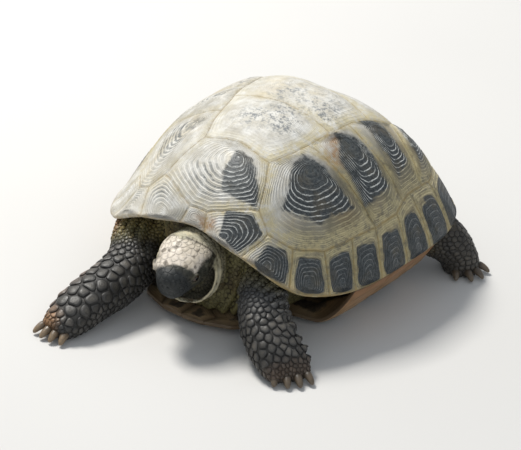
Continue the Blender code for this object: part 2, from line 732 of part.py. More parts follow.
def main():
    clear_scene()
    horn, belly_horn, skin, head_skin, leg_skin, eye_finish = [material(name) for name in FINISHES]
    carapace = make_carapace(horn)
    plastron = make_plastron(belly_horn)
    trunk = make_trunk(skin)
    plates = carapace + plastron
    head, neck, eyes = make_head_and_neck(trunk, plates, skin, head_skin, eye_finish)
    tail = loft("tail", limb_rings(TAIL, TAIL_POINTS, ROUND), skin)
    clear_of(tail, [trunk, *plates])
    around = [trunk, neck, *plates]
    legs = [
        make_limb("foreleg_right", RIGHT_FORELEG, leg_skin, around),
        make_limb("foreleg_left", LEFT_FORELEG, leg_skin, around),
        make_limb("hindleg_left", LEFT_HINDLEG, leg_skin, around),
        make_limb("hindleg_right", RIGHT_HINDLEG, leg_skin, around),
    ]
    centre_on_floor([*plates, trunk, head, neck, *eyes, tail, *legs])


main()
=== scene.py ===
"""The looks of the steppe tortoise: ringed horn, folded skin, scales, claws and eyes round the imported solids.

Shapes are worked out in the solids' own design frame (head towards -Y, animal's left +X, floor z = 0) and
moved by SHIFT, which is read from the frame, into the frame that the solids are packed in.
"""
import itertools
import math

import bmesh
import bpy
import numpy as np
from mathutils import Matrix, Vector
from mathutils.bvhtree import BVHTree
from mathutils.kdtree import KDTree


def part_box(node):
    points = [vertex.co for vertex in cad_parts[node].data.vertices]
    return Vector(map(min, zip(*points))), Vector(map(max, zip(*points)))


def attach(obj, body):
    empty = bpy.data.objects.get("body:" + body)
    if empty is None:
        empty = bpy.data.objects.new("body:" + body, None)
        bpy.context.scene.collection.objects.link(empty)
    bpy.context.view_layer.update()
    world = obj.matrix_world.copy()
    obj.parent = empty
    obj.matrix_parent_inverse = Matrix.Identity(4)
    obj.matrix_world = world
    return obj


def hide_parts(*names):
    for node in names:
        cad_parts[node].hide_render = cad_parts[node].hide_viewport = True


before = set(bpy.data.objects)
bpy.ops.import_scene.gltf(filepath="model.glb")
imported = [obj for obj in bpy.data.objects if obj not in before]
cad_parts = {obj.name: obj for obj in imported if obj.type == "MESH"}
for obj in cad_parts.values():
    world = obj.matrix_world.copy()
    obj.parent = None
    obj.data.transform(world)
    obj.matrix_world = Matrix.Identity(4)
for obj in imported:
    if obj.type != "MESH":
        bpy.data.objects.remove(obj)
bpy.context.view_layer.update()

# The carapace, as in part.py: its size, and what changes round it as (degrees from the nuchal plate, value)
HALF_LENGTH = 0.100
HALF_WIDTH = 0.0914
TOP_HEIGHT = 0.1128
TOP_BEHIND_MIDDLE = 0.0121
PLAN_POWER = 3.06
REAR_BROADENING = 0.070
NUCHAL_NOTCH = 0.004
NUCHAL_NOTCH_DEG = 12.0
RIM_HEIGHT = ((0, 0.065), (20, 0.0597), (45, 0.0387), (70, 0.0342), (100, 0.0355), (120, 0.0362),
              (136, 0.0372), (156, 0.0335), (180, 0.0305))
PLAN_SWELL = ((0, 2.38), (90, 2.12), (180, 1.87))
SIDE_SWELL = ((0, 1.78), (90, 1.55), (180, 1.13))
FLARE = ((0, 0.046), (45, 0.132), (85, 0.012), (112, 0.012), (135, 0.040), (180, 0.046))
PLATE = 0.0040
RIM_PLATE = 0.0026
THINNING_FROM = 0.80
ON_RIM = 0.99
CHART_STEP = 0.004

# Corners of the plates in the chart, on the animal's left, as in part.py
NUCHAL_REAR = (0.060, -0.873)
VERTEBRAL_FRONT = (0.300, -0.676)
VERTEBRAL_CORNERS = ((0.189, -0.455), (0.249, -0.254), (0.264, -0.125), (0.272, 0.000),
                     (0.262, 0.128), (0.268, 0.262), (0.205, 0.450))
MARGINAL_TOPS = ((0.515, -0.650), (0.623, -0.512), (0.675, -0.353), (0.700, -0.192), (0.700, -0.015),
                 (0.630, 0.137), (0.565, 0.318), (0.432, 0.497), (0.292, 0.625), (0.130, 0.690))
MARGINAL_RIM_DEG = (5.3, 21.5, 38.2, 51.7, 62.1, 75.1, 90.4, 105.5, 120.0, 138.0, 155.0, 170.0)
FIRST_COSTAL_FOOT = (0.397, -0.718)
COSTAL_2_3_FOOT = (0.664, 0.063)
COSTAL_3_4_FOOT = (0.591, 0.246)

# The head's axis and the middles of its eyes, as in part.py
HEAD_SNOUT = np.array([0.0046, -0.1257, 0.0366])
HEAD_PITCH_DEG = 27.0
HEAD_YAW_DEG = 7.0
EYE_BEHIND_SNOUT = 0.0140
EYE_ACROSS = 0.0108
EYE_UP = 0.0014


def turned(degrees):
    """Cosine and sine of an angle in degrees."""
    return math.cos(math.radians(degrees)), math.sin(math.radians(degrees))


def head_axes():
    """The head's backward, sideways and upward directions, as rows."""
    (level, steep), (ahead_share, aside_share) = turned(HEAD_PITCH_DEG), turned(HEAD_YAW_DEG)
    ahead, up = np.array([aside_share, -ahead_share, 0.0]), np.array([0.0, 0.0, 1.0])
    return np.array([up * steep - ahead * level, [ahead_share, aside_share, 0.0], up * level + ahead * steep])


HEAD_AXES = head_axes()


def in_head(points):
    """Head coordinates of points: behind the snout, across, above the axis."""
    return (points - HEAD_SNOUT) @ HEAD_AXES.T


def out_of_head(local):
    return HEAD_SNOUT + np.asarray(local) @ HEAD_AXES


def frame_shift():
    """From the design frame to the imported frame, read from where the eyes are packed."""
    (left_low, left_high), (right_low, right_high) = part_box("eye_left"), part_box("eye_right")
    middle = (np.min([left_low, right_low], 0) + np.max([left_high, right_high], 0)) / 2
    return (middle - out_of_head((EYE_BEHIND_SNOUT, 0.0, EYE_UP))) * (1, 1, 0)


SHIFT = frame_shift()


# ---------------------------------------------------------------- numbers

def along(stations, theta):
    """Smooth monotone curve through (degrees, value) stations, level at both ends, even in theta."""
    x, y = np.array(stations, float).T
    h, slope = np.diff(x), np.diff(y) / np.diff(x)
    m = np.zeros(len(x))
    for k in range(1, len(x) - 1):
        if slope[k - 1] * slope[k] > 0:
            before, after = 2 * h[k] + h[k - 1], h[k] + 2 * h[k - 1]
            m[k] = (before + after) / (before / slope[k - 1] + after / slope[k])
    a = np.clip(np.abs(np.degrees(theta)), x[0], x[-1])
    i = np.clip(np.searchsorted(x, a, side="right") - 1, 0, len(x) - 2)
    t = (a - x[i]) / h[i]
    return ((2 * t**3 - 3 * t**2 + 1) * y[i] + (t**3 - 2 * t**2 + t) * h[i] * m[i]
            + (3 * t**2 - 2 * t**3) * y[i + 1] + (t**3 - t**2) * h[i] * m[i + 1])


def smooth(value, start, end):
    """0 before start, 1 after end, smooth between; start may lie after end."""
    t = np.clip((value - start) / (end - start), 0, 1)
    return t * t * (3 - 2 * t)


def hill(value, width):
    """1 where value is 0, falling off smoothly to either side."""
    return np.exp(-(value / width)**2)


def unit(vectors):
    """Vectors, or one vector, at a length of 1."""
    if np.ndim(vectors) == 1:
        return vectors / np.linalg.norm(vectors)
    return vectors / np.linalg.norm(vectors, axis=-1, keepdims=True)


def full_turn(count, start=0.0):
    """Angles evenly round a circle."""
    return np.linspace(start, start + 2 * np.pi, count, endpoint=False)


LATTICE = np.random.default_rng(11).uniform(-1, 1, 4096)


def noise(points, scale, seed=0):
    """Smooth noise from -1 to 1 at points, with features about 1 / scale across."""
    points = np.asarray(points, float) * scale + seed * 17.31
    if points.shape[-1] == 2:
        points = np.concatenate([points, np.zeros(points.shape[:-1] + (1,))], -1)
    cell = np.floor(points).astype(np.int64)
    t = points - cell
    t = t * t * (3 - 2 * t)
    total = 0.0
    for corner in itertools.product((0, 1), repeat=3):
        x, y, z = (cell[..., k] + corner[k] for k in range(3))
        mixed = (x * 73856093) ^ (y * 19349663) ^ (z * 83492791)
        weight = np.prod([t[..., k] if corner[k] else 1 - t[..., k] for k in range(3)], 0)
        total = total + weight * LATTICE[(mixed ^ (mixed >> 13)) % len(LATTICE)]
    return total


# ---------------------------------------------------------------- the dome and its chart

def rim(theta):
    """The rim of the carapace, as an array of points."""
    across, ahead = np.sin(theta), -np.cos(theta)
    reach = 1 / ((np.abs(across) / HALF_WIDTH)**PLAN_POWER
                 + (np.abs(ahead) / HALF_LENGTH)**PLAN_POWER)**(1 / PLAN_POWER)
    x, y = reach * across, reach * ahead
    x = x * (1 + REAR_BROADENING * y / HALF_LENGTH)
    y = y + NUCHAL_NOTCH * hill(np.degrees(theta), NUCHAL_NOTCH_DEG)
    return np.stack([x, y, along(RIM_HEIGHT, theta)], -1)


def dome(theta, s):
    """A point of the carapace's outer surface."""
    edge = rim(theta)
    plan, side, flare = along(PLAN_SWELL, theta), along(SIDE_SWELL, theta), along(FLARE, theta)
    phi = np.pi / 2 * s**(plan / 2)
    out = (1 - flare) * np.sin(phi)**(2 / plan) + flare * s**8
    up = np.clip(np.cos(phi), 0, 1)**(2 / side)
    centre = np.array([0.0, TOP_BEHIND_MIDDLE])
    plane = centre + (edge[..., :2] - centre) * out[..., None]
    height = edge[..., 2] + (TOP_HEIGHT - edge[..., 2]) * up
    return np.concatenate([plane, height[..., None]], -1)


def chart(points):
    """Chart points to the outer surface."""
    s = np.minimum(np.hypot(points[..., 0], points[..., 1]), 1.0)
    return dome(np.arctan2(points[..., 0], -points[..., 1]), s)


def chart_normal(points):
    """The outward normal at chart points, from short steps that stay on the chart."""
    s = np.hypot(points[..., 0], points[..., 1])[..., None]
    furthest = 1 - 2 * CHART_STEP
    base = points * np.where(s > furthest, furthest / np.maximum(s, CHART_STEP), 1.0)
    dx = chart(base + (CHART_STEP, 0)) - chart(base - (CHART_STEP, 0))
    dy = chart(base + (0, CHART_STEP)) - chart(base - (0, CHART_STEP))
    return unit(np.cross(dx, dy))


def carapace_surface(points):
    return chart(points), chart_normal(points)


# ---------------------------------------------------------------- meshes

FLIPPED = [0, 3, 2, 1]


def grid_quads(levels, count):
    """Quads between levels of count points, each level joined round."""
    row = np.arange(levels)[:, None] * count + np.arange(count)
    following = np.roll(row, -1, axis=1)
    return np.stack([row[:-1], following[:-1], following[1:], row[1:]], -1).reshape(-1, 4)


def fan(start, count, tip, is_flipped=False):
    """Triangles from the ring of count points at start to a tip."""
    ring = start + np.arange(count)
    sides = [ring, np.roll(ring, -1)]
    return np.stack([*(sides[::-1] if is_flipped else sides), np.full(count, tip)], -1)


def mesh_of(name, points, *face_groups):
    """A mesh from design-frame points and arrays of faces, each array with its own number of corners."""
    mesh = bpy.data.meshes.new(name)
    mesh.vertices.add(len(points))
    set_points(mesh, points)
    corners = np.concatenate([f.ravel() for f in face_groups]).astype(np.int32)
    sizes = np.concatenate([np.full(len(f), f.shape[1]) for f in face_groups])
    mesh.loops.add(len(corners))
    mesh.loops.foreach_set("vertex_index", corners)
    mesh.polygons.add(len(sizes))
    mesh.polygons.foreach_set("loop_start", np.concatenate([[0], np.cumsum(sizes)[:-1]]).astype(np.int32))
    mesh.update(calc_edges=True)
    mesh.validate()
    return mesh


def set_points(mesh, points):
    mesh.vertices.foreach_set("co", (points + SHIFT).astype(np.float32).ravel())
    mesh.update()


def add_attributes(mesh, **attributes):
    """Numbers or colours at the mesh's points, for its material."""
    for name, values in attributes.items():
        values = np.asarray(values, np.float32)
        if values.ndim == 1:
            mesh.attributes.new(name, "FLOAT", "POINT").data.foreach_set("value", values)
        else:
            colour = np.ones((len(values), 4), np.float32)
            colour[:, :3] = values
            mesh.attributes.new(name, "FLOAT_COLOR", "POINT").data.foreach_set("color", colour.ravel())


def add_object(name, data):
    thing = bpy.data.objects.new(name, data)
    bpy.context.scene.collection.objects.link(thing)
    return thing


def add_piece(name, mesh, material, replaced=()):
    """Puts a mesh in the scene as a piece of the animal."""
    mesh.shade_smooth()
    mesh.materials.append(material)
    piece = add_object(name, mesh)
    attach(piece, "root")
    if replaced:
        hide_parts(*replaced)


# ---------------------------------------------------------------- materials

class Graph:
    """A short way to write a material's nodes, from output sockets and plain values."""

    def __init__(self, name):
        self.material = bpy.data.materials.new(name)
        self.material.use_nodes = True
        self.tree = self.material.node_tree
        self.shader = self.tree.nodes["Principled BSDF"]

    def put(self, socket, value):
        if isinstance(value, bpy.types.NodeSocket):
            self.tree.links.new(value, socket)
        elif isinstance(value, tuple) and len(value) == 3 and socket.type == "RGBA":
            socket.default_value = (*value, 1.0)
        else:
            socket.default_value = value

    def node(self, kind, inputs, output=0, **settings):
        """The output of a new node with these settings and inputs."""
        node = self.tree.nodes.new("ShaderNode" + kind)
        for key, value in settings.items():
            setattr(node, key, value)
        for key, value in inputs.items():
            self.put(node.inputs[key], value)
        return node.outputs[output]

    def numbers(self, *names):
        """Numbers that are attributes of the mesh."""
        return [self.node("Attribute", {}, "Fac", attribute_name=name) for name in names]

    def tint(self):
        return self.node("Attribute", {}, "Color", attribute_name="tint")

    def position(self):
        return self.node("TexCoord", {}, "Object")

    def noise(self, scale, detail, roughness, place=None):
        place = self.position() if place is None else place
        inputs = {"Vector": place, "Scale": scale, "Detail": detail, "Roughness": roughness}
        return self.node("TexNoise", inputs, "Fac")

    def times(self, product, *factors):
        for factor in factors:
            product = self.node("Math", {0: product, 1: factor}, operation="MULTIPLY")
        return product

    def plus(self, a, b):
        return self.node("Math", {0: a, 1: b}, operation="ADD")

    def minus(self, a, b):
        return self.node("Math", {0: a, 1: b}, operation="SUBTRACT")

    def span(self, value, low, high, to_low=0.0, to_high=1.0):
        """Smooth step of value from low to high."""
        inputs = {"Value": value, "From Min": low, "From Max": high, "To Min": to_low, "To Max": to_high}
        return self.node("MapRange", inputs, "Result", interpolation_type="SMOOTHSTEP")

    def crests(self, phase, narrow):
        """1 on the growth rings, where the phase is a whole number, and 0 between them."""
        part = self.node("Math", {0: self.plus(phase, 0.5)}, operation="FRACT")
        near = self.node("Math", {0: self.minus(part, 0.5)}, operation="ABSOLUTE")
        return self.span(near, narrow, narrow * 0.25)

    def ragged(self, value, pattern, amount):
        """A value with a pattern about a half laid over it."""
        return self.plus(value, self.times(self.minus(pattern, 0.5), amount))

    def layered(self, colour, *layers):
        """A colour under layers of (share, colour), or of (share, colour, way of blending)."""
        for share, over, *way in layers:
            inputs = {"Factor": share, 6: colour, 7: over}
            colour = self.node("Mix", inputs, 2, data_type="RGBA", blend_type=way[0] if way else "MIX")
        return colour

    def finish(self, colour, roughness, bumps=None, depth=0.0, **constants):
        """The material, with a bump of a depth where bumps are given."""
        self.put(self.shader.inputs["Base Color"], colour)
        self.put(self.shader.inputs["Roughness"], roughness)
        if bumps is not None:
            normal = self.node("Bump", {"Height": bumps, "Distance": depth, "Strength": 1.0}, "Normal")
            self.put(self.shader.inputs["Normal"], normal)
        for name, value in constants.items():
            self.put(self.shader.inputs[name.replace("_", " ")], value)
        return self.material


def carapace_horn():
    g = Graph("carapace_horn")
    phase, blotch, pale, seam, border = g.numbers("phase", "blotch", "pale", "seam", "border")
    rust, chalk, speckle, ringed = g.numbers("rust", "chalk", "speckle", "ringed")
    grain, fine, broad = g.noise(90.0, 5.0, 0.6), g.noise(700.0, 4.0, 0.6), g.noise(38.0, 4.0, 0.6)
    streak = g.noise(260.0, 5.0, 0.7)
    wavy = g.ragged(phase, fine, 0.30)
    lines, minor = g.crests(wavy, 0.16), g.crests(g.times(wavy, 3.0), 0.32)
    broken = g.span(g.noise(170.0, 4.0, 0.7), 0.34, 0.60)

    tan = g.layered((0.135, 0.120, 0.072),
                    (g.span(grain, 0.30, 0.72), (0.230, 0.203, 0.128)),
                    (g.times(g.span(broad, 0.42, 0.70), 0.6), (0.24, 0.165, 0.070)),
                    (g.times(lines, broken, 0.9), (0.52, 0.46, 0.27)),
                    (g.times(minor, 0.35), (0.11, 0.085, 0.045)))
    cream = g.layered((0.50, 0.475, 0.41),
                      (g.span(g.noise(120.0, 4.0, 0.6), 0.3, 0.7), (0.69, 0.68, 0.64)),
                      (g.times(g.span(broad, 0.50, 0.72), 0.42), (0.60, 0.50, 0.30)),
                      (g.times(minor, broken, 0.26), (0.36, 0.32, 0.24)))
    stripes = g.times(g.crests(g.times(wavy, 2.0), 0.20), border)
    at_seam = g.times(seam, g.minus(0.80, g.times(pale, 0.35)), g.span(streak, 0.30, 0.60))
    # Cream where the horn is pale, partly its own colour and partly painted sunlight over the top and right
    light = g.layered(tan, (pale, cream),
                      (g.times(border, g.span(streak, 0.35, 0.60), 0.70), (0.56, 0.475, 0.255)),
                      (g.times(stripes, broken, 0.55), (0.70, 0.62, 0.36)),
                      (g.times(rust, g.span(streak, 0.30, 0.66)), (0.36, 0.20, 0.085)),
                      (at_seam, (0.36, 0.255, 0.095)))
    slate = g.layered((0.020, 0.026, 0.030),
                      (g.span(fine, 0.35, 0.70), (0.070, 0.080, 0.084)),
                      (g.times(minor, 0.30), (0.12, 0.125, 0.115)),
                      (g.times(g.span(grain, 0.46, 0.72), 0.55), (0.090, 0.078, 0.050)),
                      (g.times(lines, broken, chalk), (0.62, 0.63, 0.60)))
    patch = g.ragged(g.ragged(blotch, streak, 0.85), g.noise(85.0, 3.0, 0.55), 0.7)
    patch = g.span(g.minus(patch, g.times(lines, 0.10)), 0.30, 0.72)
    mottle = g.span(g.plus(g.times(streak, 0.6), g.times(fine, 0.4)), 0.47, 0.60)
    groove = g.times(g.crests(g.plus(wavy, 0.5), 0.34), ringed, g.span(broken, -0.6, 1.0))
    colour = g.layered(light, (patch, slate),
                       (g.times(mottle, speckle), (0.20, 0.21, 0.215)),
                       (g.times(groove, 0.88), (0.13, 0.14, 0.137)),
                       (g.times(g.span(g.noise(45.0, 5.0, 0.6), 0.52, 0.78), 0.26), (0.22, 0.175, 0.12)))
    bumps = g.plus(g.times(fine, 0.5), g.times(minor, 0.35))
    return g.finish(colour, g.span(grain, 0.2, 0.8, 0.38, 0.60), bumps, 0.00022, Specular_IOR_Level=0.42)


def plastron_horn():
    g = Graph("plastron_horn")
    phase, blotch, rust, seam = g.numbers("phase", "blotch", "rust", "seam")
    fine, grain = g.noise(600.0, 4.0, 0.6), g.noise(80.0, 5.0, 0.6)
    dark = g.layered((0.035, 0.028, 0.022), (g.span(fine, 0.35, 0.7), (0.11, 0.085, 0.06)))
    patch = g.span(g.ragged(blotch, g.noise(200.0, 5.0, 0.65), 0.8), 0.4, 0.66)
    colour = g.layered((0.50, 0.36, 0.19),
                       (g.span(grain, 0.3, 0.7), (0.66, 0.53, 0.33)),
                       (rust, (0.25, 0.12, 0.048)),
                       (g.times(g.crests(phase, 0.2), 0.5), (0.17, 0.105, 0.048)),
                       (g.times(g.span(grain, 0.45, 0.70), 0.55), (0.15, 0.085, 0.038)),
                       (patch, dark),
                       (g.times(seam, 0.8), (0.06, 0.038, 0.02)))
    return g.finish(colour, g.span(grain, 0.2, 0.8, 0.35, 0.6), fine, 0.0002, Specular_IOR_Level=0.4)


def skin_material():
    g = Graph("body_skin")
    (ridge,) = g.numbers("ridge")
    grain, fine = g.noise(420.0, 4.0, 0.6), g.noise(1600.0, 3.0, 0.6)
    # Darker in the creases of the skin and paler on its ridges, by the ridge attribute: painted shade and
    # painted highlight
    colour = g.layered(g.tint(),
                       (g.times(g.span(grain, 0.35, 0.75), 0.35), (0.55, 0.50, 0.42), "MULTIPLY"),
                       (g.span(ridge, 0.48, 0.18), (0.32, 0.27, 0.20), "MULTIPLY"),
                       (g.times(g.span(ridge, 0.55, 0.95), 0.45), (1.6, 1.5, 1.3), "MULTIPLY"))
    pebbles = g.node("TexVoronoi", {"Vector": g.position(), "Scale": 900.0}, "Distance", feature="F1")
    bumps = g.plus(g.times(fine, 0.5), g.minus(1.0, pebbles))
    return g.finish(colour, g.span(grain, 0.2, 0.8, 0.50, 0.72), bumps, 0.00016, Specular_IOR_Level=0.38)


def scale_material(name, low, high, specular, edge):
    """Horny scales: paler and ringed towards the middle, dark at the edge."""
    g = Graph(name)
    rho, keel = g.numbers("rho", "keel")
    grain, fine = g.noise(500.0, 5.0, 0.65), g.noise(1900.0, 3.0, 0.6)
    rings = g.crests(g.plus(g.times(rho, 2.6), g.times(grain, 0.9)), 0.34)
    colour = g.layered(g.tint(),
                       (g.times(g.span(grain, 0.38, 0.70), 0.45), (0.52, 0.48, 0.42), "MULTIPLY"),
                       (g.times(rings, keel, 0.05), (0.30, 0.27, 0.23)),
                       (g.times(g.span(rho, 0.85, 0.20), keel, 0.55), (2.0, 1.9, 1.7), "MULTIPLY"),
                       (g.times(g.span(rho, 0.80, 1.0), edge), (0.14, 0.12, 0.10), "MULTIPLY"))
    bumps = g.plus(g.times(fine, 0.4), g.times(rings, keel, 0.15))
    return g.finish(colour, g.span(grain, 0.2, 0.8, low, high), bumps, 0.00018, Specular_IOR_Level=specular)


def claw_horn():
    g = Graph("claw_horn")
    share, soiled = g.numbers("share", "soiled")
    place = g.node("VectorMath", {0: g.position(), 1: (1.0, 1.0, 2.0)}, operation="MULTIPLY")
    streaks = g.noise(500.0, 4.0, 0.6, place)
    # Claws are painted darker by soiled: painted shade
    colour = g.layered((0.080, 0.058, 0.038), (g.span(share, 0.1, 0.9), (0.24, 0.17, 0.10)),
                       (g.times(g.span(streaks, 0.45, 0.70), 0.6), (0.07, 0.048, 0.032)),
                       (soiled, (0.040, 0.034, 0.027)))
    return g.finish(colour, g.span(streaks, 0.2, 0.8, 0.30, 0.50), streaks, 0.0002, Specular_IOR_Level=0.5)


def eye_material():
    """A dark brown iris round a black pupil, by the degrees off the eye's axis."""
    g = Graph("eye")
    (off,) = g.numbers("off_axis")
    streaks = g.noise(1500.0, 3.0, 0.6)
    iris = g.layered((0.022, 0.013, 0.008), (g.span(streaks, 0.35, 0.65), (0.050, 0.030, 0.016)))
    colour = g.layered((0.003, 0.003, 0.003), (g.span(off, 15.0, 18.0), iris),
                       (g.span(off, 34.0, 40.0), (0.012, 0.010, 0.008)))
    return g.finish(colour, 0.12, Coat_Weight=0.25, Coat_Roughness=0.04, Specular_IOR_Level=0.35)


# ---------------------------------------------------------------- ringed plates of horn

SEAM_HALF = 0.0004
OUTLINE_STEP = 0.0125
AREOLA = 0.20
ROWS_IN_A_RING = (0.0, 0.10, 0.24, 0.38, 0.50, 0.62, 0.76, 0.90)
CREST = 0.00030
MINOR_CREST = 0.00010
CROWN = 0.0012
SEAM_DROP = 0.00035
SEAM_SLOPE = 0.0011
SEAM_STAIN = 0.0008
CHART_SIZE = 0.090
UNDER_SHARE = 0.94
UNDER_EDGE = 0.0004


def inward_offset(corners, insets):
    """Moves each side of a polygon inward by its own inset and returns the new corners."""
    corners = np.array(corners, float)
    following = np.roll(corners, -1, axis=0)
    turn = np.sign(np.sum(corners[:, 0] * following[:, 1] - following[:, 0] * corners[:, 1]))
    lines = []
    for corner, side, inset in zip(corners, following - corners, insets):
        inward = turn * np.array([-side[1], side[0]]) / np.linalg.norm(side)
        lines.append((corner + inward * inset, side))
    moved = []
    for (p, d), (q, e) in zip(lines[-1:] + lines[:-1], lines):
        cross = d[0] * e[1] - d[1] * e[0]
        is_straight = abs(cross) < 1e-3 * np.linalg.norm(d) * np.linalg.norm(e)
        moved.append(q if is_straight else p + d * (((q - p)[0] * e[1] - (q - p)[1] * e[0]) / cross))
    return moved


def subdivided(corners, longest):
    """Points along a closed polygon; sides whose ends are both on the rim follow it."""
    points = []
    for start, end in zip(corners, corners[1:] + corners[:1]):
        count = max(2, round(float(np.linalg.norm(end - start)) / longest))
        both_out = min(np.hypot(*start), np.hypot(*end)) > ON_RIM
        for k in range(count):
            point = start + (end - start) * k / count
            points.append(point / np.hypot(*point) if both_out else point)
    return np.array(points)


def chart_outline(corners):
    """The outline of a carapace plate, half a seam inside its corners; the rim keeps its line.

    Seams wander a little, and neighbours share the same wander.
    """
    rims = [np.hypot(*c) > ON_RIM for c in corners]
    insets = [0.0 if a and b else SEAM_HALF for a, b in zip(rims, rims[1:] + rims[:1])]
    moved = inward_offset(corners, insets)
    points = subdivided([m / np.hypot(*m) if r else m for m, r in zip(moved, rims)], OUTLINE_STEP)
    drift = [noise(points, 13.0, seed) * 0.0050 + noise(points, 42.0, seed + 1) * 0.0017 for seed in (1, 3)]
    keep = 1 - smooth(np.hypot(points[:, 0], points[:, 1]), 0.90, 0.985)
    return points + np.stack(drift, -1) * keep[:, None]


def plan_outline(corners):
    """The outline of a plastron plate, half a seam inside its corners."""
    moved = inward_offset([np.array(c) / CHART_SIZE for c in corners], [SEAM_HALF] * len(corners))
    return subdivided([m * 0.9 for m in moved], OUTLINE_STEP) / 0.9 * CHART_SIZE


def rounded(outline, width):
    """The outline with its corners smoothed, by averaging round the loop."""
    n = len(outline)
    offsets = np.arange(n)
    weights = hill(np.minimum(offsets, n - offsets), n * width)
    weights /= weights.sum()
    return np.real(np.fft.ifft(np.fft.fft(outline, axis=0) * np.fft.fft(weights)[:, None], axis=0))


def growth_rows(rings):
    """Rows of a plate from its areola to its edge: phase, where whole numbers are crests, and radius."""
    inside = np.linspace(0.12, 0.92, 5) * AREOLA
    phases = np.array([ring + part for ring in range(rings) for part in ROWS_IN_A_RING])
    radii = AREOLA + (1 - AREOLA) * (1 - (1 - phases / rings)**1.25)
    edge = 1 - np.array([0.55, 0.25, 0.0]) * (1 - radii[-1])
    phases = np.concatenate([inside / AREOLA - 1.0, phases, np.linspace(phases[-1], rings, 4)[1:]])
    return phases, np.concatenate([inside, radii, edge])


def ring_relief(phase, place):
    """Height of the growth rings: a sharp crest on each whole phase and finer ones between."""
    near = np.abs((phase + 0.5) % 1.0 - 0.5)
    crest = hill(near, 0.15) * CREST * (0.75 + 0.45 * noise(place, 140.0, 5))
    finer = np.cos(phase * 8 * np.pi) * MINOR_CREST * (0.7 + 0.6 * noise(place, 220.0, 6))
    grown = smooth(phase, -0.2, 0.4)
    return (crest + finer) * grown + noise(place, 900.0, 7) * 0.00007 * (1 - grown)


def ringed_plate(name, outline, areola, rings, surface, thickness, material, marks, unit_size=1.0):
    """A closed plate of horn with growth rings round its areola, which stands for the node of its name.

    outline and areola are in the surface's own flat coordinates, of which unit_size is about CHART_SIZE.
    """
    n = len(outline)
    phases, radii = growth_rows(rings)
    share = radii[:, None, None]
    spread = (rounded(outline, 0.075) - areola) * (1 - share**3.5) + (outline - areola) * share**3.5
    flat = areola + spread * share
    wander = noise(flat / unit_size, 30.0, 8) * 0.0035 + noise(flat / unit_size, 75.0, 9) * 0.0012
    wander = wander * unit_size * 4 * share[..., 0] * (1 - share[..., 0])
    flat = (flat + unit(spread) * wander[..., None]).reshape(-1, 2)
    place, normal = surface(flat)
    phase, radius = np.repeat(phases, n), np.repeat(radii, n)
    edge, edge_normal = place[-n:], normal[-n:]
    gap = np.linalg.norm(place - np.tile(edge, (len(radii), 1)), axis=1)
    worn = 0.4 if name.startswith("vertebral") and not name.endswith("1") else 1.0
    lift = (CROWN * (1 - radius**2) + ring_relief(phase, place) * worn * (1 - np.exp(-gap / SEAM_STAIN))
            - SEAM_DROP * np.exp(-gap / SEAM_SLOPE))

    middle, middle_normal = surface(areola[None])
    deep = thickness(outline)[:, None]
    under_flat = areola + (outline - areola) * UNDER_SHARE
    under, under_normal = surface(under_flat)
    points = np.concatenate([
        place + normal * lift[:, None],
        edge - edge_normal * (SEAM_DROP + 0.25 * (deep - SEAM_DROP)),
        edge - edge_normal * (deep - UNDER_EDGE),
        under - under_normal * thickness(under_flat)[:, None],
        middle + middle_normal * CROWN,
        middle - middle_normal * thickness(areola[None])[:, None],
    ])
    levels = len(radii) + 3
    mesh = mesh_of(name + "_horn", points, grid_quads(levels, n)[:, FLIPPED],
                   fan(0, n, len(points) - 2), fan((levels - 1) * n, n, len(points) - 1, True))

    rest = 3 * n
    flat = np.concatenate([flat, np.tile(outline, (3, 1)), areola[None], areola[None]])
    gap = np.concatenate([gap, np.zeros(rest), [0.01, 0.01]])
    add_attributes(mesh, phase=np.concatenate([phase, np.full(rest, float(rings)), [-1.0, -1.0]]),
                   seam=hill(gap, SEAM_STAIN),
                   **marks(flat, np.concatenate([radius, np.ones(rest), [0.0, 0.0]])))
    add_piece(name + "_horn", mesh, material, [name])


# ---------------------------------------------------------------- the carapace's plates and markings

def mirrored(corners):
    return [(-x, y) for x, y in corners]


def both_sides(*corners):
    """A polygon symmetric about the midline, from its corners on the left, front to rear."""
    return list(corners) + mirrored(corners)[::-1]


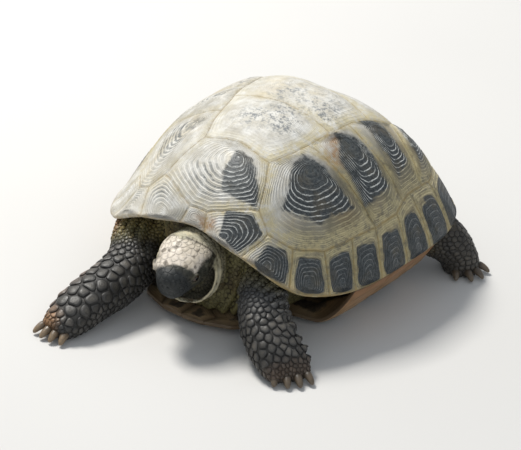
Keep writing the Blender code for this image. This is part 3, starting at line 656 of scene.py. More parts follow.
def carapace_plates():
    """Every plate of the carapace: its name, kind, number, side and chart corners."""
    v = VERTEBRAL_CORNERS
    tops = (NUCHAL_REAR, VERTEBRAL_FRONT) + MARGINAL_TOPS
    rims = [turned(degrees)[::-1] for degrees in MARGINAL_RIM_DEG]
    rims = [(x, -y) for x, y in rims]
    plates = [
        ("nuchal", "nuchal", 0, 1, both_sides(rims[0], NUCHAL_REAR)),
        ("vertebral_1", "vertebral", 1, 1, both_sides(NUCHAL_REAR, VERTEBRAL_FRONT, v[0])),
        ("vertebral_2", "vertebral", 2, 1, both_sides(*v[0:3])),
        ("vertebral_3", "vertebral", 3, 1, both_sides(*v[2:5])),
        ("vertebral_4", "vertebral", 4, 1, both_sides(*v[4:7])),
        ("vertebral_5", "vertebral", 5, 1, both_sides(v[6], tops[10], tops[11])),
        ("supracaudal", "supracaudal", 0, 1, both_sides(tops[11], rims[11])),
    ]
    paired = [
        ("costal", 1, [VERTEBRAL_FRONT, FIRST_COSTAL_FOOT, *tops[2:6], v[1], v[0]]),
        ("costal", 2, [v[1], tops[5], tops[6], COSTAL_2_3_FOOT, v[3], v[2]]),
        ("costal", 3, [v[3], COSTAL_2_3_FOOT, tops[7], COSTAL_3_4_FOOT, v[5], v[4]]),
        ("costal", 4, [v[5], COSTAL_3_4_FOOT, tops[8], tops[9], tops[10], v[6]]),
    ]
    spare_corners = {1: [FIRST_COSTAL_FOOT], 7: [COSTAL_2_3_FOOT], 8: [COSTAL_3_4_FOOT]}
    for number in range(1, 12):
        front, rear = tops[number - 1:number + 1]
        corners = [FIRST_COSTAL_FOOT if number == 2 else front, *rims[number - 1:number + 1]]
        spare = spare_corners.get(number, [])
        paired.append(("marginal", number, corners + (spare + [rear] if number == 1 else [rear] + spare)))
    for kind, number, corners in paired:
        plates.append((f"{kind}_left_{number}", kind, number, 1, corners))
        plates.append((f"{kind}_right_{number}", kind, number, -1, mirrored(corners)))
    return plates


# Where each plate began to grow, in the chart, on the animal's left; marginals near the rim, a little ahead
AREOLAS = {
    "nuchal": (0.0, -0.93), "vertebral_1": (0.055, -0.53), "vertebral_2": (0.0, -0.24),
    "vertebral_3": (0.0, 0.06), "vertebral_4": (0.0, 0.31), "vertebral_5": (0.0, 0.54),
    "supracaudal": (0.0, 0.84), "costal_1": (0.33, -0.34), "costal_2": (0.33, -0.09),
    "costal_3": (0.33, 0.14), "costal_4": (0.30, 0.35),
}
MARGINAL_AREOLA_SHARES = (0.08, 0.46, 0.39, 0.07)
RINGS = {"vertebral": 11, "costal": 14, "marginal": 8, "nuchal": 5, "supracaudal": 9}

# The dark patches in the chart, on the animal's left
PATCHES = {
    "costal_1": ((0.26, -0.37), (0.27, -0.31), (0.36, -0.28), (0.57, -0.27), (0.52, -0.46), (0.37, -0.57)),
    "costal_2": ((0.27, -0.11), (0.34, -0.03), (0.43, 0.00), (0.58, -0.01), (0.60, -0.20), (0.38, -0.18)),
    "costal_3": ((0.21, 0.10), (0.31, 0.17), (0.47, 0.20), (0.55, 0.10), (0.38, 0.08), (0.27, 0.08)),
    "costal_4": ((0.20, 0.32), (0.30, 0.41), (0.40, 0.42), (0.46, 0.31), (0.30, 0.29)),
    "marginal_1": ((0.155, -0.79), (0.285, -0.715), (0.375, -0.745), (0.365, -0.83), (0.335, -0.93),
                   (0.20, -0.93)),
    "marginal_2": ((0.43, -0.76), (0.49, -0.69), (0.545, -0.72), (0.585, -0.79), (0.47, -0.89),
                   (0.43, -0.88)),
    "vertebral_1": ((0.03, -0.51), (0.11, -0.50), (0.23, -0.60), (0.27, -0.67), (0.09, -0.72), (0.03, -0.63)),
}
PATCH_EDGES = {"costal": (0.044, -0.034), "marginal": (0.030, -0.020), "vertebral": (0.045, -0.026)}
# Soft marks in the chart, as middle and size: grey mottles, grey rings, and rust
MOTTLED = ((-0.05, -0.29, 0.085), (0.10, -0.25, 0.080), (0.05, -0.20, 0.07), (-0.05, -0.05, 0.085),
           (0.13, -0.02, 0.085), (0.20, -0.06, 0.05), (0.03, 0.26, 0.09), (-0.30, 0.10, 0.09))
GREY_RINGED = ((-0.36, -0.42, 0.15), (-0.07, -0.66, 0.11), (-0.52, -0.72, 0.10), (-0.28, -0.80, 0.08),
               (-0.40, -0.10, 0.12), (0.02, -0.74, 0.06), (0.12, -0.70, 0.05))
RUSTY = ((0.05, -0.95, 0.05), (0.12, -0.92, 0.04), (0.36, -0.19, 0.05), (0.31, -0.13, 0.04))


def outside(points, corners):
    """Signed distance of points from a polygon, negative inside."""
    corners = np.array(corners, float)
    nearest = np.full(len(points), np.inf)
    inside = np.zeros(len(points), bool)
    for a, b in zip(corners, np.roll(corners, -1, axis=0)):
        side, rel = b - a, points - a
        t = np.clip(rel @ side / (side @ side), 0, 1)
        nearest = np.minimum(nearest, np.linalg.norm(rel - t[:, None] * side, axis=1))
        crossing = (a[1] > points[:, 1]) != (b[1] > points[:, 1])
        reach = a[0] + (points[:, 1] - a[1]) / (b[1] - a[1] if b[1] != a[1] else 1.0) * side[0]
        inside ^= crossing & (points[:, 0] < reach)
    return np.where(inside, -nearest, nearest)


def soft_marks(points, marks):
    """The sum of soft round marks at points."""
    total = sum(np.exp(-((points[:, 0] - x)**2 + (points[:, 1] - y)**2) / size**2) for x, y, size in marks)
    return np.clip(total, 0, 1)


def low_right(points):
    """The far flank, out of the photo's sight, taken to be marked like the near one."""
    return smooth(-points[:, 0], 0.48, 0.70) * smooth(points[:, 1], -0.50, -0.20)


def paled_and_sunlit(points):
    """How pale the horn is, partly from sun-bleaching and partly painted sunlight: cream over the sunlit top
    and right, less down the left flank, whose tan is partly painted shade.
    """
    wander = 0.05 * noise(points, 9.0, 20) + 0.02 * noise(points, 30.0, 21)
    left = smooth(points[:, 0] + 0.16 * points[:, 1] + wander, 0.20, 0.50) * 0.92
    return 1 - np.maximum(left, low_right(points + wander[:, None]) * 0.85)


def carapace_marks(kind, number, side):
    """The marking attributes of one plate, as a function of its points. The seen right is paler and its patches
    fainter, partly from sun-bleaching and partly as painted sunlight.
    """
    def marks(points, radius):
        blotch, chalk, unseen = np.zeros(len(points)), 0.85, low_right(points)
        if f"{kind}_{number}" in PATCHES:
            blotch = smooth(outside(points * (side, 1), PATCHES[f"{kind}_{number}"]), *PATCH_EDGES[kind])
        if kind == "costal":
            faded_in_sun = 0.45 if number == 1 else 0.30
            # Costal patches on the seen right are fainter, partly painted sunlight
            blotch = blotch * (1.0 if side > 0 else faded_in_sun + (0.85 - faded_in_sun) * unseen)
            chalk = smooth(radius, 0.20, 0.36)
        elif kind == "marginal":
            if number > 2:
                blotch = smooth(radius + 0.05 * noise(points, 25.0, 22), 0.88, 0.72)
            # Marginal patches on the seen right are fainter, partly painted sunlight
            blotch = blotch * (1.0 if side > 0 else 0.25 + 0.70 * unseen)
            chalk = {1: 0.75, 2: 0.35}.get(number, 0.20)
        elif kind == "vertebral" and number == 1:
            blotch, chalk = blotch * 0.95, 1.0
        rim_edge = smooth(np.hypot(points[:, 0], points[:, 1]), 0.965, 0.995)
        rust = (smooth(points[:, 1], 0.60, 0.98) * 0.45 + soft_marks(points, RUSTY)
                + rim_edge * 0.30 * (1 if side > 0 else 0.5))
        tan_side = np.maximum(smooth(points[:, 0], -0.05, 0.25), unseen)
        return {"blotch": blotch, "pale": paled_and_sunlit(points), "chalk": chalk * np.ones(len(points)),
                "speckle": soft_marks(points, MOTTLED), "ringed": soft_marks(points, GREY_RINGED),
                "rust": np.clip(rust, 0, 1), "border": smooth(radius, 0.72, 0.92) * (0.35 + 0.65 * tan_side)}
    return marks


def carapace_thickness(points):
    """The plates thin out towards the rim."""
    thin = smooth(np.hypot(points[:, 0], points[:, 1]), THINNING_FROM, 1.0)
    return PLATE + (RIM_PLATE - PLATE) * thin


def build_carapace(material):
    for name, kind, number, side, corners in carapace_plates():
        if kind == "marginal":
            rear = 4 if (number, side) == (1, 1) else 3
            front_top, front_rim, rear_rim, rear_top = (
                np.array(corners[k]) * share for k, share in zip((0, 1, 2, rear), MARGINAL_AREOLA_SHARES))
            areola = front_rim + rear_rim + front_top + rear_top
        else:
            areola = np.array(AREOLAS[f"{kind}_{number}" if number else kind]) * (side, 1)
        ringed_plate(name, chart_outline(corners), areola, RINGS[kind], carapace_surface, carapace_thickness,
                     material, carapace_marks(kind, number, side))


# ---------------------------------------------------------------- the plastron's plates

PLASTRON_CLEAR = 0.0030
PLASTRON_PLATE = 0.0042
BRIDGE_DEG = (63.0, 83.0, 111.0)
BRIDGE_SPARE_DEG = 8.0
BRIDGE_FACETS = 12
BRIDGE_INNER_X = 0.060
BRIDGE_POWER = 2.2
BRIDGE_GAP = 0.0014
LOBE_LIFT = 0.0006
LOBE_START_Y = -0.060
PLASTRON_RINGS = 6


def bridge_arc(start, end):
    """Plan points under the rim from one angle to another."""
    edge = rim(np.radians(np.linspace(start, end, BRIDGE_FACETS + 1)))
    return [(x, y) for x, y, _ in edge]


# Each plate of the plastron on the animal's left, as in part.py, and where it began to grow
PLASTRON = {
    "gular": (((0.0, -0.1000), (0.0150, -0.0985), (0.0175, -0.0890), (0.0, -0.0760)), (0.0075, -0.094)),
    "humeral": (((0.0, -0.0760), (0.0175, -0.0890), (0.0150, -0.0985), (0.0300, -0.0920), (0.0410, -0.0790),
                 (0.0465, -0.0640), (0.0485, -0.0530), (0.0, -0.0480)), (0.033, -0.077)),
    "pectoral": (((0.0, -0.0360), (0.0, -0.0480), (0.0485, -0.0530), *bridge_arc(*BRIDGE_DEG[:2]),
                  (0.0660, -0.0240), (0.0500, -0.0270)), (0.052, -0.041)),
    "abdominal": (((0.0, -0.0360), (0.0500, -0.0270), (0.0660, -0.0240), *bridge_arc(*BRIDGE_DEG[1:]),
                   (0.0500, 0.0400), (0.0, 0.0240)), (0.052, 0.012)),
    "femoral": (((0.0, 0.0240), (0.0500, 0.0400), (0.0480, 0.0560), (0.0400, 0.0730), (0.0350, 0.0770),
                 (0.0, 0.0620)), (0.037, 0.056)),
    "anal": (((0.0, 0.0620), (0.0350, 0.0770), (0.0280, 0.0880), (0.0130, 0.0910), (0.0, 0.0820)),
             (0.018, 0.079)),
}


def bridge_line(y):
    """Where the bridge ends at a given y: the x and z just under the rim."""
    turns = np.radians(np.linspace(BRIDGE_DEG[0] - BRIDGE_SPARE_DEG, BRIDGE_DEG[2] + BRIDGE_SPARE_DEG))
    x, own_y, z = rim(turns).T
    return np.interp(y, own_y, x), np.interp(y, own_y, z) - BRIDGE_GAP


def bridge_share(points):
    """How far plan points are out along the bridge, from 0 on the flat to 1 under the rim."""
    out_x, _ = bridge_line(points[..., 1])
    return np.clip((np.abs(points[..., 0]) - BRIDGE_INNER_X) / (out_x - BRIDGE_INNER_X), 0, 1)


def plastron_height(points):
    """The underside of the plastron over plan points: flat, rising to the bridge and a little in front."""
    _, out_z = bridge_line(points[..., 1])
    lobe = np.clip((LOBE_START_Y - points[..., 1]) / (HALF_LENGTH + LOBE_START_Y), 0, 1)
    rise = (out_z - PLASTRON_CLEAR) * bridge_share(points)**BRIDGE_POWER
    return PLASTRON_CLEAR + rise + LOBE_LIFT * lobe**2


def plastron_surface(points):
    """Places on the plastron's underside and the ways out of the body: down, and level under the rim.

    The crown and the rings stand no lower than the solid plate, so that it still clears the floor.
    """
    share = bridge_share(points)
    place = np.concatenate([points, plastron_height(points)[..., None]], -1)
    outward = unit(np.stack([np.sign(points[..., 0]) * share, np.zeros_like(share), share - 1], -1))
    return place - outward * (CROWN + CREST), outward


def plastron_thickness(points):
    return np.full(len(points), PLASTRON_PLATE - CROWN - CREST)


def plastron_marks(points, radius):
    """Dark middles with tan edges, and rust on the bridge."""
    share = bridge_share(points)
    dark = smooth(radius + 0.10 * noise(points, 60.0, 30), 0.86, 0.55)
    return {"blotch": dark * (1 - 0.55 * share), "rust": 0.25 + 0.75 * share}


def build_plastron(material):
    for kind, (plan, areola) in PLASTRON.items():
        for side, sign in (("left", 1), ("right", -1)):
            outline = plan_outline([(x * sign, y) for x, y in plan])
            ringed_plate(f"{kind}_{side}", outline, np.array(areola) * (sign, 1), PLASTRON_RINGS,
                         plastron_surface, plastron_thickness, material, plastron_marks,
                         unit_size=CHART_SIZE)


# ---------------------------------------------------------------- the flesh, with stations as in part.py

# Stations of each limb: x, y, z, half width and half height
LIMBS = {
    "foreleg_right": (
        (-0.0505, -0.062, 0.0350, 0.0172, 0.0172), (-0.0465, -0.079, 0.0300, 0.0165, 0.0175),
        (-0.0405, -0.096, 0.0228, 0.0150, 0.0158), (-0.040, -0.112, 0.0180, 0.0148, 0.0145),
        (-0.042, -0.130, 0.0150, 0.0145, 0.0132), (-0.044, -0.144, 0.0108, 0.0138, 0.0118),
        (-0.0455, -0.155, 0.0068, 0.0122, 0.0088), (-0.0465, -0.1620, 0.0044, 0.0095, 0.0060)),
    "foreleg_left": (
        (0.0355, -0.0575, 0.0380, 0.0150, 0.0150), (0.0395, -0.0725, 0.0355, 0.0145, 0.0148),
        (0.0455, -0.0852, 0.0305, 0.0142, 0.0146), (0.0535, -0.0940, 0.0235, 0.0148, 0.0140),
        (0.0630, -0.0998, 0.0160, 0.0158, 0.0130), (0.0735, -0.1035, 0.0095, 0.0164, 0.0108),
        (0.0805, -0.1070, 0.0055, 0.0150, 0.0075), (0.0850, -0.1095, 0.0040, 0.0125, 0.0046)),
    "hindleg_left": (
        (0.0540, 0.0440, 0.0340, 0.0150, 0.0170), (0.0670, 0.0510, 0.0310, 0.0148, 0.0165),
        (0.0775, 0.0585, 0.0260, 0.0140, 0.0150), (0.0845, 0.0650, 0.0190, 0.0130, 0.0130),
        (0.0885, 0.0695, 0.0110, 0.0122, 0.0118), (0.0905, 0.0715, 0.0040, 0.0120, 0.0116),
        (0.0910, 0.0720, -0.0010, 0.0112, 0.0108)),
    "hindleg_right": (
        (-0.0520, 0.0420, 0.0340, 0.0150, 0.0170), (-0.0670, 0.0460, 0.0310, 0.0148, 0.0165),
        (-0.0800, 0.0500, 0.0255, 0.0140, 0.0150), (-0.0885, 0.0540, 0.0185, 0.0130, 0.0130),
        (-0.0925, 0.0560, 0.0110, 0.0122, 0.0118), (-0.0935, 0.0565, 0.0040, 0.0120, 0.0116),
        (-0.0938, 0.0567, -0.0010, 0.0112, 0.0108)),
    "neck": (
        (0.0005, -0.060, 0.0400, 0.0175, 0.0215), (0.0005, -0.078, 0.0398, 0.0178, 0.0222),
        (0.0005, -0.088, 0.0390, 0.0182, 0.0228), (0.0005, -0.0950, 0.0384, 0.0181, 0.0230),
        (0.0005, -0.0985, 0.0380, 0.0174, 0.0222)),
    "tail": (
        (0.0, 0.066, 0.0300, 0.0085, 0.0085), (0.0, 0.080, 0.0265, 0.0080, 0.0080),
        (0.001, 0.090, 0.0205, 0.0066, 0.0066), (0.003, 0.0975, 0.0135, 0.0050, 0.0050),
        (0.006, 0.1020, 0.0075, 0.0032, 0.0032), (0.008, 0.1040, 0.0035, 0.0012, 0.0012)),
}
LEGS = ("foreleg_right", "foreleg_left", "hindleg_left", "hindleg_right")
REGIONS = ("trunk", "head", *LIMBS)
SQUARENESS = {name: 2.4 for name in LEGS} | {"neck": 2.1, "tail": 2.0}
# Claws of each foot: heading, fan, half the row's width, place ahead of the foot, at the row's ends, height
FOOT_CLAWS = {
    "foreleg_right": (-92.0, 16.0, 0.0072, -0.0022, -0.0040, 0.0046),
    "foreleg_left": (-42.0, 16.0, 0.0088, -0.0022, -0.0045, 0.0040),
    "hindleg_left": (-24.0, 30.0, 0.0076, 0.0084, 0.0040, 0.0036),
    "hindleg_right": (-156.0, 30.0, 0.0076, 0.0084, 0.0040, 0.0036),
}
CLAWS_ON_A_FOOT = 4
TOE_RADII = (0.0046, 0.0034, 0.0034)
TOE_BEHIND_CLAW = 0.001
CLAW_LENGTH = 0.0100
CLAW_WIDTH = 0.0027
CLAW_TIP_HEIGHT = 0.0016
CLAW_ARCH = 0.0011
# Width along a claw, as (share of its length, share of its width), and its thickness below and above
CLAW_TAPER = ((-0.12, 1.05), (0.35, 1.00), (0.80, 0.70), (0.95, 0.46), (1.0, 0.16))
CLAW_FLATNESS = (0.62, 0.92)
TRUNK_INSIDE = 0.0088
TRUNK_RINGS = (0.02, 0.12, 0.22, 0.32, 0.42, 0.52, 0.60, 0.68)
SKIN_LINE = ((0, 0.82), (40, 0.83), (58, 0.90), (112, 0.88), (135, 0.78), (180, 0.78))
BELLY_REACH = ((0, 0.088), (20, 0.085), (42, 0.066), (60, 0.053), (90, 0.048), (118, 0.053),
               (136, 0.064), (160, 0.078), (180, 0.076))
BELLY_HEIGHT = 0.0012
# Sections of the head: distance behind the snout, half width, top and bottom above the axis
HEAD_SECTIONS = (
    (0.0000, 0.0030, 0.0050, -0.0060), (0.0012, 0.0058, 0.0078, -0.0105), (0.0040, 0.0085, 0.0090, -0.0130),
    (0.0080, 0.0110, 0.0096, -0.0138), (0.0130, 0.0136, 0.0103, -0.0142), (0.0190, 0.0154, 0.0111, -0.0146),
    (0.0260, 0.0164, 0.0110, -0.0148), (0.0320, 0.0160, 0.0096, -0.0145), (0.0370, 0.0140, 0.0070, -0.0130),
    (0.0405, 0.0100, 0.0042, -0.0095), (0.0425, 0.0050, 0.0020, -0.0045))
HEAD_LENGTH = 0.0425
HEAD_ROUNDNESS = 0.82
JAW_NARROWING = 0.12
EYE_RADIUS = 0.0038
CORNEA = 0.00025

# The skin lies this far inside the solids, under the scales, and is made of cells of this size
SKIN_DEPTH = 0.00045
SKIN_CELL = 0.00115
RING_STEP = 0.0022
RING_POINTS = 56
SOLE_HEIGHT = 0.0003

# The two rolls of skin round the back of the head: centre, half width, half height, thickness, and how
# far the animal's left edge lies behind the right one per metre across
COLLAR_ROLLS = (((0.0008, -0.0994, 0.0378), 0.0176, 0.0222, 0.00085, 0.30),
                ((0.0010, -0.0972, 0.0380), 0.0184, 0.0230, 0.00095, 0.33))
# Rings that draw the neck in round the head, inside the collar: share of the end ring, and place behind it
COLLAR_HOOD = ((0.93, 0.0004), (0.87, 0.0022), (0.80, 0.0052))


def between(stations, step):
    """Stations along a smooth curve through the given ones, no further apart than step."""
    table = np.array(stations)
    padded = np.concatenate([2 * table[:1] - table[1:2], table, 2 * table[-1:] - table[-2:-1]])
    found = []
    for a, b, c, d in zip(padded, padded[1:], padded[2:], padded[3:]):
        count = max(1, math.ceil(np.linalg.norm(c[:3] - b[:3]) / step))
        for t in np.arange(count) / count:
            found.append(0.5 * (2 * b + (c - a) * t + (2 * a - 5 * b + 4 * c - d) * t**2
                                + (3 * b - a - 3 * c + d) * t**3))
    return np.array([*found, table[-1]])


def frames_along(centres):
    """Forward, side and up at each centre of a bent limb."""
    forward = unit(np.gradient(centres, axis=0))
    side = unit(np.cross(forward, (0.0, 0.0, 1.0)))
    return forward, side, np.cross(side, forward)


def rings_round(centres, side, up, across, over):
    """Rings about centres, from each point's reach along the ring's side and up directions."""
    return centres[:, None] + across[..., None] * side[..., None, :] + over[..., None] * up[..., None, :]


def limb_rings(table, squareness):
    """Rings across a bent limb, elliptic at a squareness of 2 and boxy above it."""
    c, s = np.cos(full_turn(RING_POINTS)), np.sin(full_turn(RING_POINTS))
    across = np.sign(c) * np.abs(c)**(2 / squareness)
    over = np.sign(s) * np.abs(s)**(2 / squareness)
    _, side, up = frames_along(table[:, :3])
    wide, high = np.maximum(table[:, 3:] - SKIN_DEPTH, 0.0004).T
    return rings_round(table[:, :3], side, up, across * wide[:, None], over * high[:, None])


def closed_loft(rings):
    """Points, quads and triangles of a closed body through rings."""
    levels, count = rings.shape[:2]
    points = np.concatenate([rings.reshape(-1, 3), rings[0].mean(0)[None], rings[-1].mean(0)[None]])
    fans = [fan(0, count, len(points) - 2, True), fan((levels - 1) * count, count, len(points) - 1)]
    return points, grid_quads(levels, count), np.concatenate(fans)


def closed_ring(rings):
    """A ring-shaped body, with no ends."""
    levels, count = rings.shape[:2]
    quads = grid_quads(levels + 1, count) % (levels * count)
    return rings.reshape(-1, 3), quads[:, ::-1], np.zeros((0, 3), int)


def joined(bodies):
    """Several (points, quads, triangles) as one."""
    starts = np.cumsum([0] + [len(b[0]) for b in bodies[:-1]])
    quads, triangles = (np.concatenate([b[k] + s for b, s in zip(bodies, starts)]) for k in (1, 2))
    return np.concatenate([b[0] for b in bodies]), quads, triangles


def toe(root, tip):
    """The end of the foot round the root of a claw."""
    ahead = unit(tip - root)
    side = unit(np.cross(ahead, (0, 0, 1.0)))
    polar, turn = np.linspace(0.08, np.pi - 0.08, 12), full_turn(20)
    local = np.stack([np.outer(np.cos(polar), np.ones(len(turn))), np.outer(np.sin(polar), np.cos(turn)),
                      np.outer(np.sin(polar), np.sin(turn))], -1) * TOE_RADII
    axes = np.array([ahead, side, np.cross(side, ahead)])
    return closed_loft(root - ahead * TOE_BEHIND_CLAW + local @ axes)


def head_profile(behind):
    """Half width, top and bottom of the head at distances behind the snout."""
    table = np.array(HEAD_SECTIONS)
    stations = np.sqrt(table[:, 0] / HEAD_LENGTH) * 100
    place = np.radians(np.sqrt(np.clip(behind, 0, HEAD_LENGTH) / HEAD_LENGTH) * 100)
    return [along(list(zip(stations, column)), place) for column in table[:, 1:].T]


def head_rings():
    c, s = np.cos(full_turn(RING_POINTS)), np.sin(full_turn(RING_POINTS))
    behind = HEAD_LENGTH * np.linspace(0, 1, 44)**1.6
    wide, top, bottom = (np.abs(v)[:, None] - SKIN_DEPTH for v in head_profile(behind))
    above = np.where(s > 0, top, bottom) * np.sign(s) * np.abs(s)**HEAD_ROUNDNESS
    across = wide * np.sign(c) * np.abs(c)**HEAD_ROUNDNESS
    across = across * (1 - JAW_NARROWING * np.clip(-above / bottom, 0, None)**2)
    local = np.stack([np.broadcast_to(behind[:, None], above.shape), across, above], -1)
    return out_of_head(local.reshape(-1, 3)).reshape(local.shape)


def trunk_rings():
    """The body inside the shell, out to its bare faces in the leg openings."""
    turns = full_turn(128, -np.pi)
    flat = np.stack([np.sin(turns), -np.cos(turns)], -1)
    rings = []
    for reach in (*(np.full(len(turns), s) for s in TRUNK_RINGS), along(SKIN_LINE, turns)):
        points = flat * reach[:, None]
        rings.append(chart(points) - chart_normal(points) * TRUNK_INSIDE)
    plan = flat * along(BELLY_REACH, turns)[:, None]
    low = plastron_height(plan) + PLASTRON_PLATE + BELLY_HEIGHT
    bottom = np.concatenate([plan, low[:, None]], -1)
    rings += [(rings[-1] + bottom) / 2, bottom, bottom * (0.5, 0.5, 1.0)]
    return np.array(rings)[::-1]


def hooded(rings):
    """The neck's rings, turned with the collar at their end and drawn in round the head."""
    end = rings[-1]
    middle = end.mean(0)
    drawn_in = [(middle + (end - middle) * share + (0, back, 0))[None] for share, back in COLLAR_HOOD]
    rings = np.concatenate([rings, *drawn_in])
    slant = COLLAR_ROLLS[0][-1] * smooth(rings[..., 1], -0.086, -0.0975)
    return rings + (slant * rings[..., 0])[..., None] * np.array([0.0, 1.0, 0.0])


def collar_roll(centre, wide, high, thick, slant):
    """A roll of skin round the neck."""
    turn, around = full_turn(96), full_turn(14)
    line = np.stack([np.cos(turn) * wide, np.cos(turn) * wide * slant, np.sin(turn) * high], -1)
    outward = unit(np.stack([np.cos(turn) / wide, 0 * turn, np.sin(turn) / high], -1))
    size = (thick * (1 + 0.14 * noise(line + np.array(centre), 90.0, 40)))[:, None]
    return closed_ring(rings_round(np.array(centre) + line, outward, np.array([0.0, 1.0, 0.0]),
                                   size * np.cos(around), size * np.sin(around)))


def claw_places(name):
    """Root and tip of each claw of a leg's foot, fanned about its heading."""
    heading, fanned, row, front, ends, height = FOOT_CLAWS[name]
    foot = LIMBS[name][-1]
    ahead = np.array([*turned(heading), 0.0])
    aside = np.array([-ahead[1], ahead[0], 0.0])
    claws = []
    for i in range(CLAWS_ON_A_FOOT):
        share = 2 * i / (CLAWS_ON_A_FOOT - 1) - 1
        level, steep = turned(fanned * share)
        root = np.array([foot[0], foot[1], height]) + aside * row * share
        root += ahead * (front + (ends - front) * share**2)
        tip = root + (ahead * level + aside * steep) * CLAW_LENGTH
        tip[2] = CLAW_TIP_HEIGHT
        claws.append((root, tip))
    return claws


def flesh_bodies():
    """Every closed body that the skin goes round, with the part that it belongs to."""
    bodies = [("trunk", closed_loft(trunk_rings())), ("head", closed_loft(head_rings()[:, ::-1]))]
    for name, stations in LIMBS.items():
        rings = limb_rings(between(stations, RING_STEP), SQUARENESS[name])
        bodies.append((name, closed_loft(hooded(rings) if name == "neck" else rings)))
    bodies += [(name, toe(root, tip)) for name in LEGS for root, tip in claw_places(name)]
    return bodies + [("neck", collar_roll(*roll)) for roll in COLLAR_ROLLS]


class Regions:
    """Tells which part of the body a point of the skin belongs to, from the nearest of the bodies in it."""

    def __init__(self, bodies):
        points, quads, triangles = joined([body for _, body in bodies])
        self.tree = tree_of(points, [*quads, *triangles])
        names = [REGIONS.index(name) for name, _ in bodies]
        counts = [[len(body[k]) for _, body in bodies] for k in (1, 2)]
        self.of_face = np.concatenate([np.repeat(names, count) for count in counts])

    def __call__(self, points):
        return self.of_face[[self.tree.find_nearest(Vector(point))[2] for point in points]]


# ---------------------------------------------------------------- surfaces as arrays

def numbers_of(items, key, width, kind):
    """One property of all a mesh's items, as an array of rows."""
    values = np.empty(len(items) * width, kind)
    items.foreach_get(key, values)
    return values.reshape(-1, width)


def arrays_of(mesh):
    """Design-frame points and triangles of a mesh."""
    mesh.calc_loop_triangles()
    points = numbers_of(mesh.vertices, "co", 3, np.float32).astype(float) - SHIFT
    return points, numbers_of(mesh.loop_triangles, "vertices", 3, np.int32)


def edges_of(mesh):
    return numbers_of(mesh.edges, "vertices", 2, np.int32)


def normals_of(points, triangles):
    """Vertex normals."""
    a, b, c = (points[triangles[:, k]] for k in range(3))
    face = np.cross(b - a, c - a)
    total = np.stack([sum(np.bincount(triangles[:, k], face[:, axis], len(points)) for k in range(3))
                      for axis in range(3)], -1)
    return total / np.maximum(np.linalg.norm(total, axis=1, keepdims=True), 1e-12)


def relaxed(points, edges, rounds):
    """Laplacian smoothing."""
    degree = np.bincount(edges.ravel(), minlength=len(points))[:, None]
    for _ in range(rounds):
        total = np.zeros_like(points)
        for axis in range(3):
            total[:, axis] = (np.bincount(edges[:, 0], points[edges[:, 1], axis], len(points))
                              + np.bincount(edges[:, 1], points[edges[:, 0], axis], len(points)))
        points = points + (total / np.maximum(degree, 1) - points) * 0.5
    return points


def tree_of(points, faces):
    return BVHTree.FromPolygons([Vector(p) for p in points], [tuple(map(int, f)) for f in faces])


def finder_of(points):
    finder = KDTree(len(points))
    for i, point in enumerate(points):
        finder.insert(point, i)
    finder.balance()
    return finder


def modified(mesh, kind, hidden=(), **values):
    """A mesh after a modifier, with its hidden points in a group where they are given."""
    worker = add_object("worker", mesh)
    if len(hidden):
        worker.vertex_groups.new(name="hidden").add(np.nonzero(hidden)[0].tolist(), 1.0, "REPLACE")
    modifier = worker.modifiers.new(kind, kind)
    for key, value in values.items():
        setattr(modifier, key, value)
    graph = bpy.context.evaluated_depsgraph_get()
    result = bpy.data.meshes.new_from_object(worker.evaluated_get(graph))
    bpy.data.objects.remove(worker)
    return result


SHELL_CLEARANCE = 0.0006
# How far outside a lining points are still brought back
CARAPACE_REACH = 0.012
PLASTRON_REACH = 0.009
# Half the plastron's width, out to the bridge beside the legs
PLASTRON_HALF_WIDTH = ((-0.100, 0.010), (-0.0985, 0.015), (-0.092, 0.030), (-0.079, 0.041), (-0.064, 0.0465),
                       (-0.053, 0.0485), (-0.046, 0.060), (0.030, 0.060), (0.040, 0.050), (0.056, 0.048),
                       (0.073, 0.040), (0.088, 0.028), (0.0910, 0.013))


def inside_shell(points):
    """Moves points that stand in the shell's plates to just inside them."""
    turns = full_turn(240, -np.pi)
    flat = np.stack([np.sin(turns), -np.cos(turns)], -1)
    reach = np.concatenate([np.linspace(0.02, 0.95, 60), [0.97, 0.985, 0.995]])
    around = (reach[:, None, None] * flat).reshape(-1, 2)
    normal = chart_normal(around)
    lining = chart(around) - normal * (carapace_thickness(around) + SHELL_CLEARANCE)[:, None]
    inner = np.arange(len(turns) * (len(reach) - 1)) < len(turns) * (len(reach) - 2)
    quads = grid_quads(len(reach), len(turns))[:, FLIPPED]
    points = pushed(points, lining, normal, quads, inner, CARAPACE_REACH)

    steps, share = np.linspace(-0.098, 0.0905, 110), np.linspace(-1, 1, 61)
    half = np.interp(steps, *zip(*PLASTRON_HALF_WIDTH))
    plan = np.stack([half[:, None] * share, np.broadcast_to(steps[:, None], (len(steps), len(share)))], -1)
    place, outward = plastron_surface(plan.reshape(-1, 2))
    lining = place - outward * (PLASTRON_PLATE - CREST - CROWN + SHELL_CLEARANCE)
    row = np.arange(len(steps))[:, None] * len(share) + np.arange(len(share))
    quads = np.stack([row[:-1, :-1], row[:-1, 1:], row[1:, 1:], row[1:, :-1]], -1)
    inner = np.zeros(quads.shape[:2], bool)
    inner[1:-1, 1:-1] = True
    return pushed(points, lining, outward, quads.reshape(-1, 4), inner.ravel(), PLASTRON_REACH)


def pushed(points, lining, outward, quads, inner, furthest):
    """Points that stand beyond the inner part of a lining, and near it, come back to it."""
    tree = tree_of(lining, quads)
    moved = points.copy()
    for i, point in enumerate(points):
        place, _, face, _ = tree.find_nearest(Vector(point), furthest)
        if place is not None and inner[face] and (point - place) @ outward[quads[face][0]] > 0:
            moved[i] = np.array(place)
    return moved


RAYS = 12
RAY_REACH = 0.25
FLESH = ("trunk", "neck", "head", "eye", "tail", "foreleg", "hindleg")


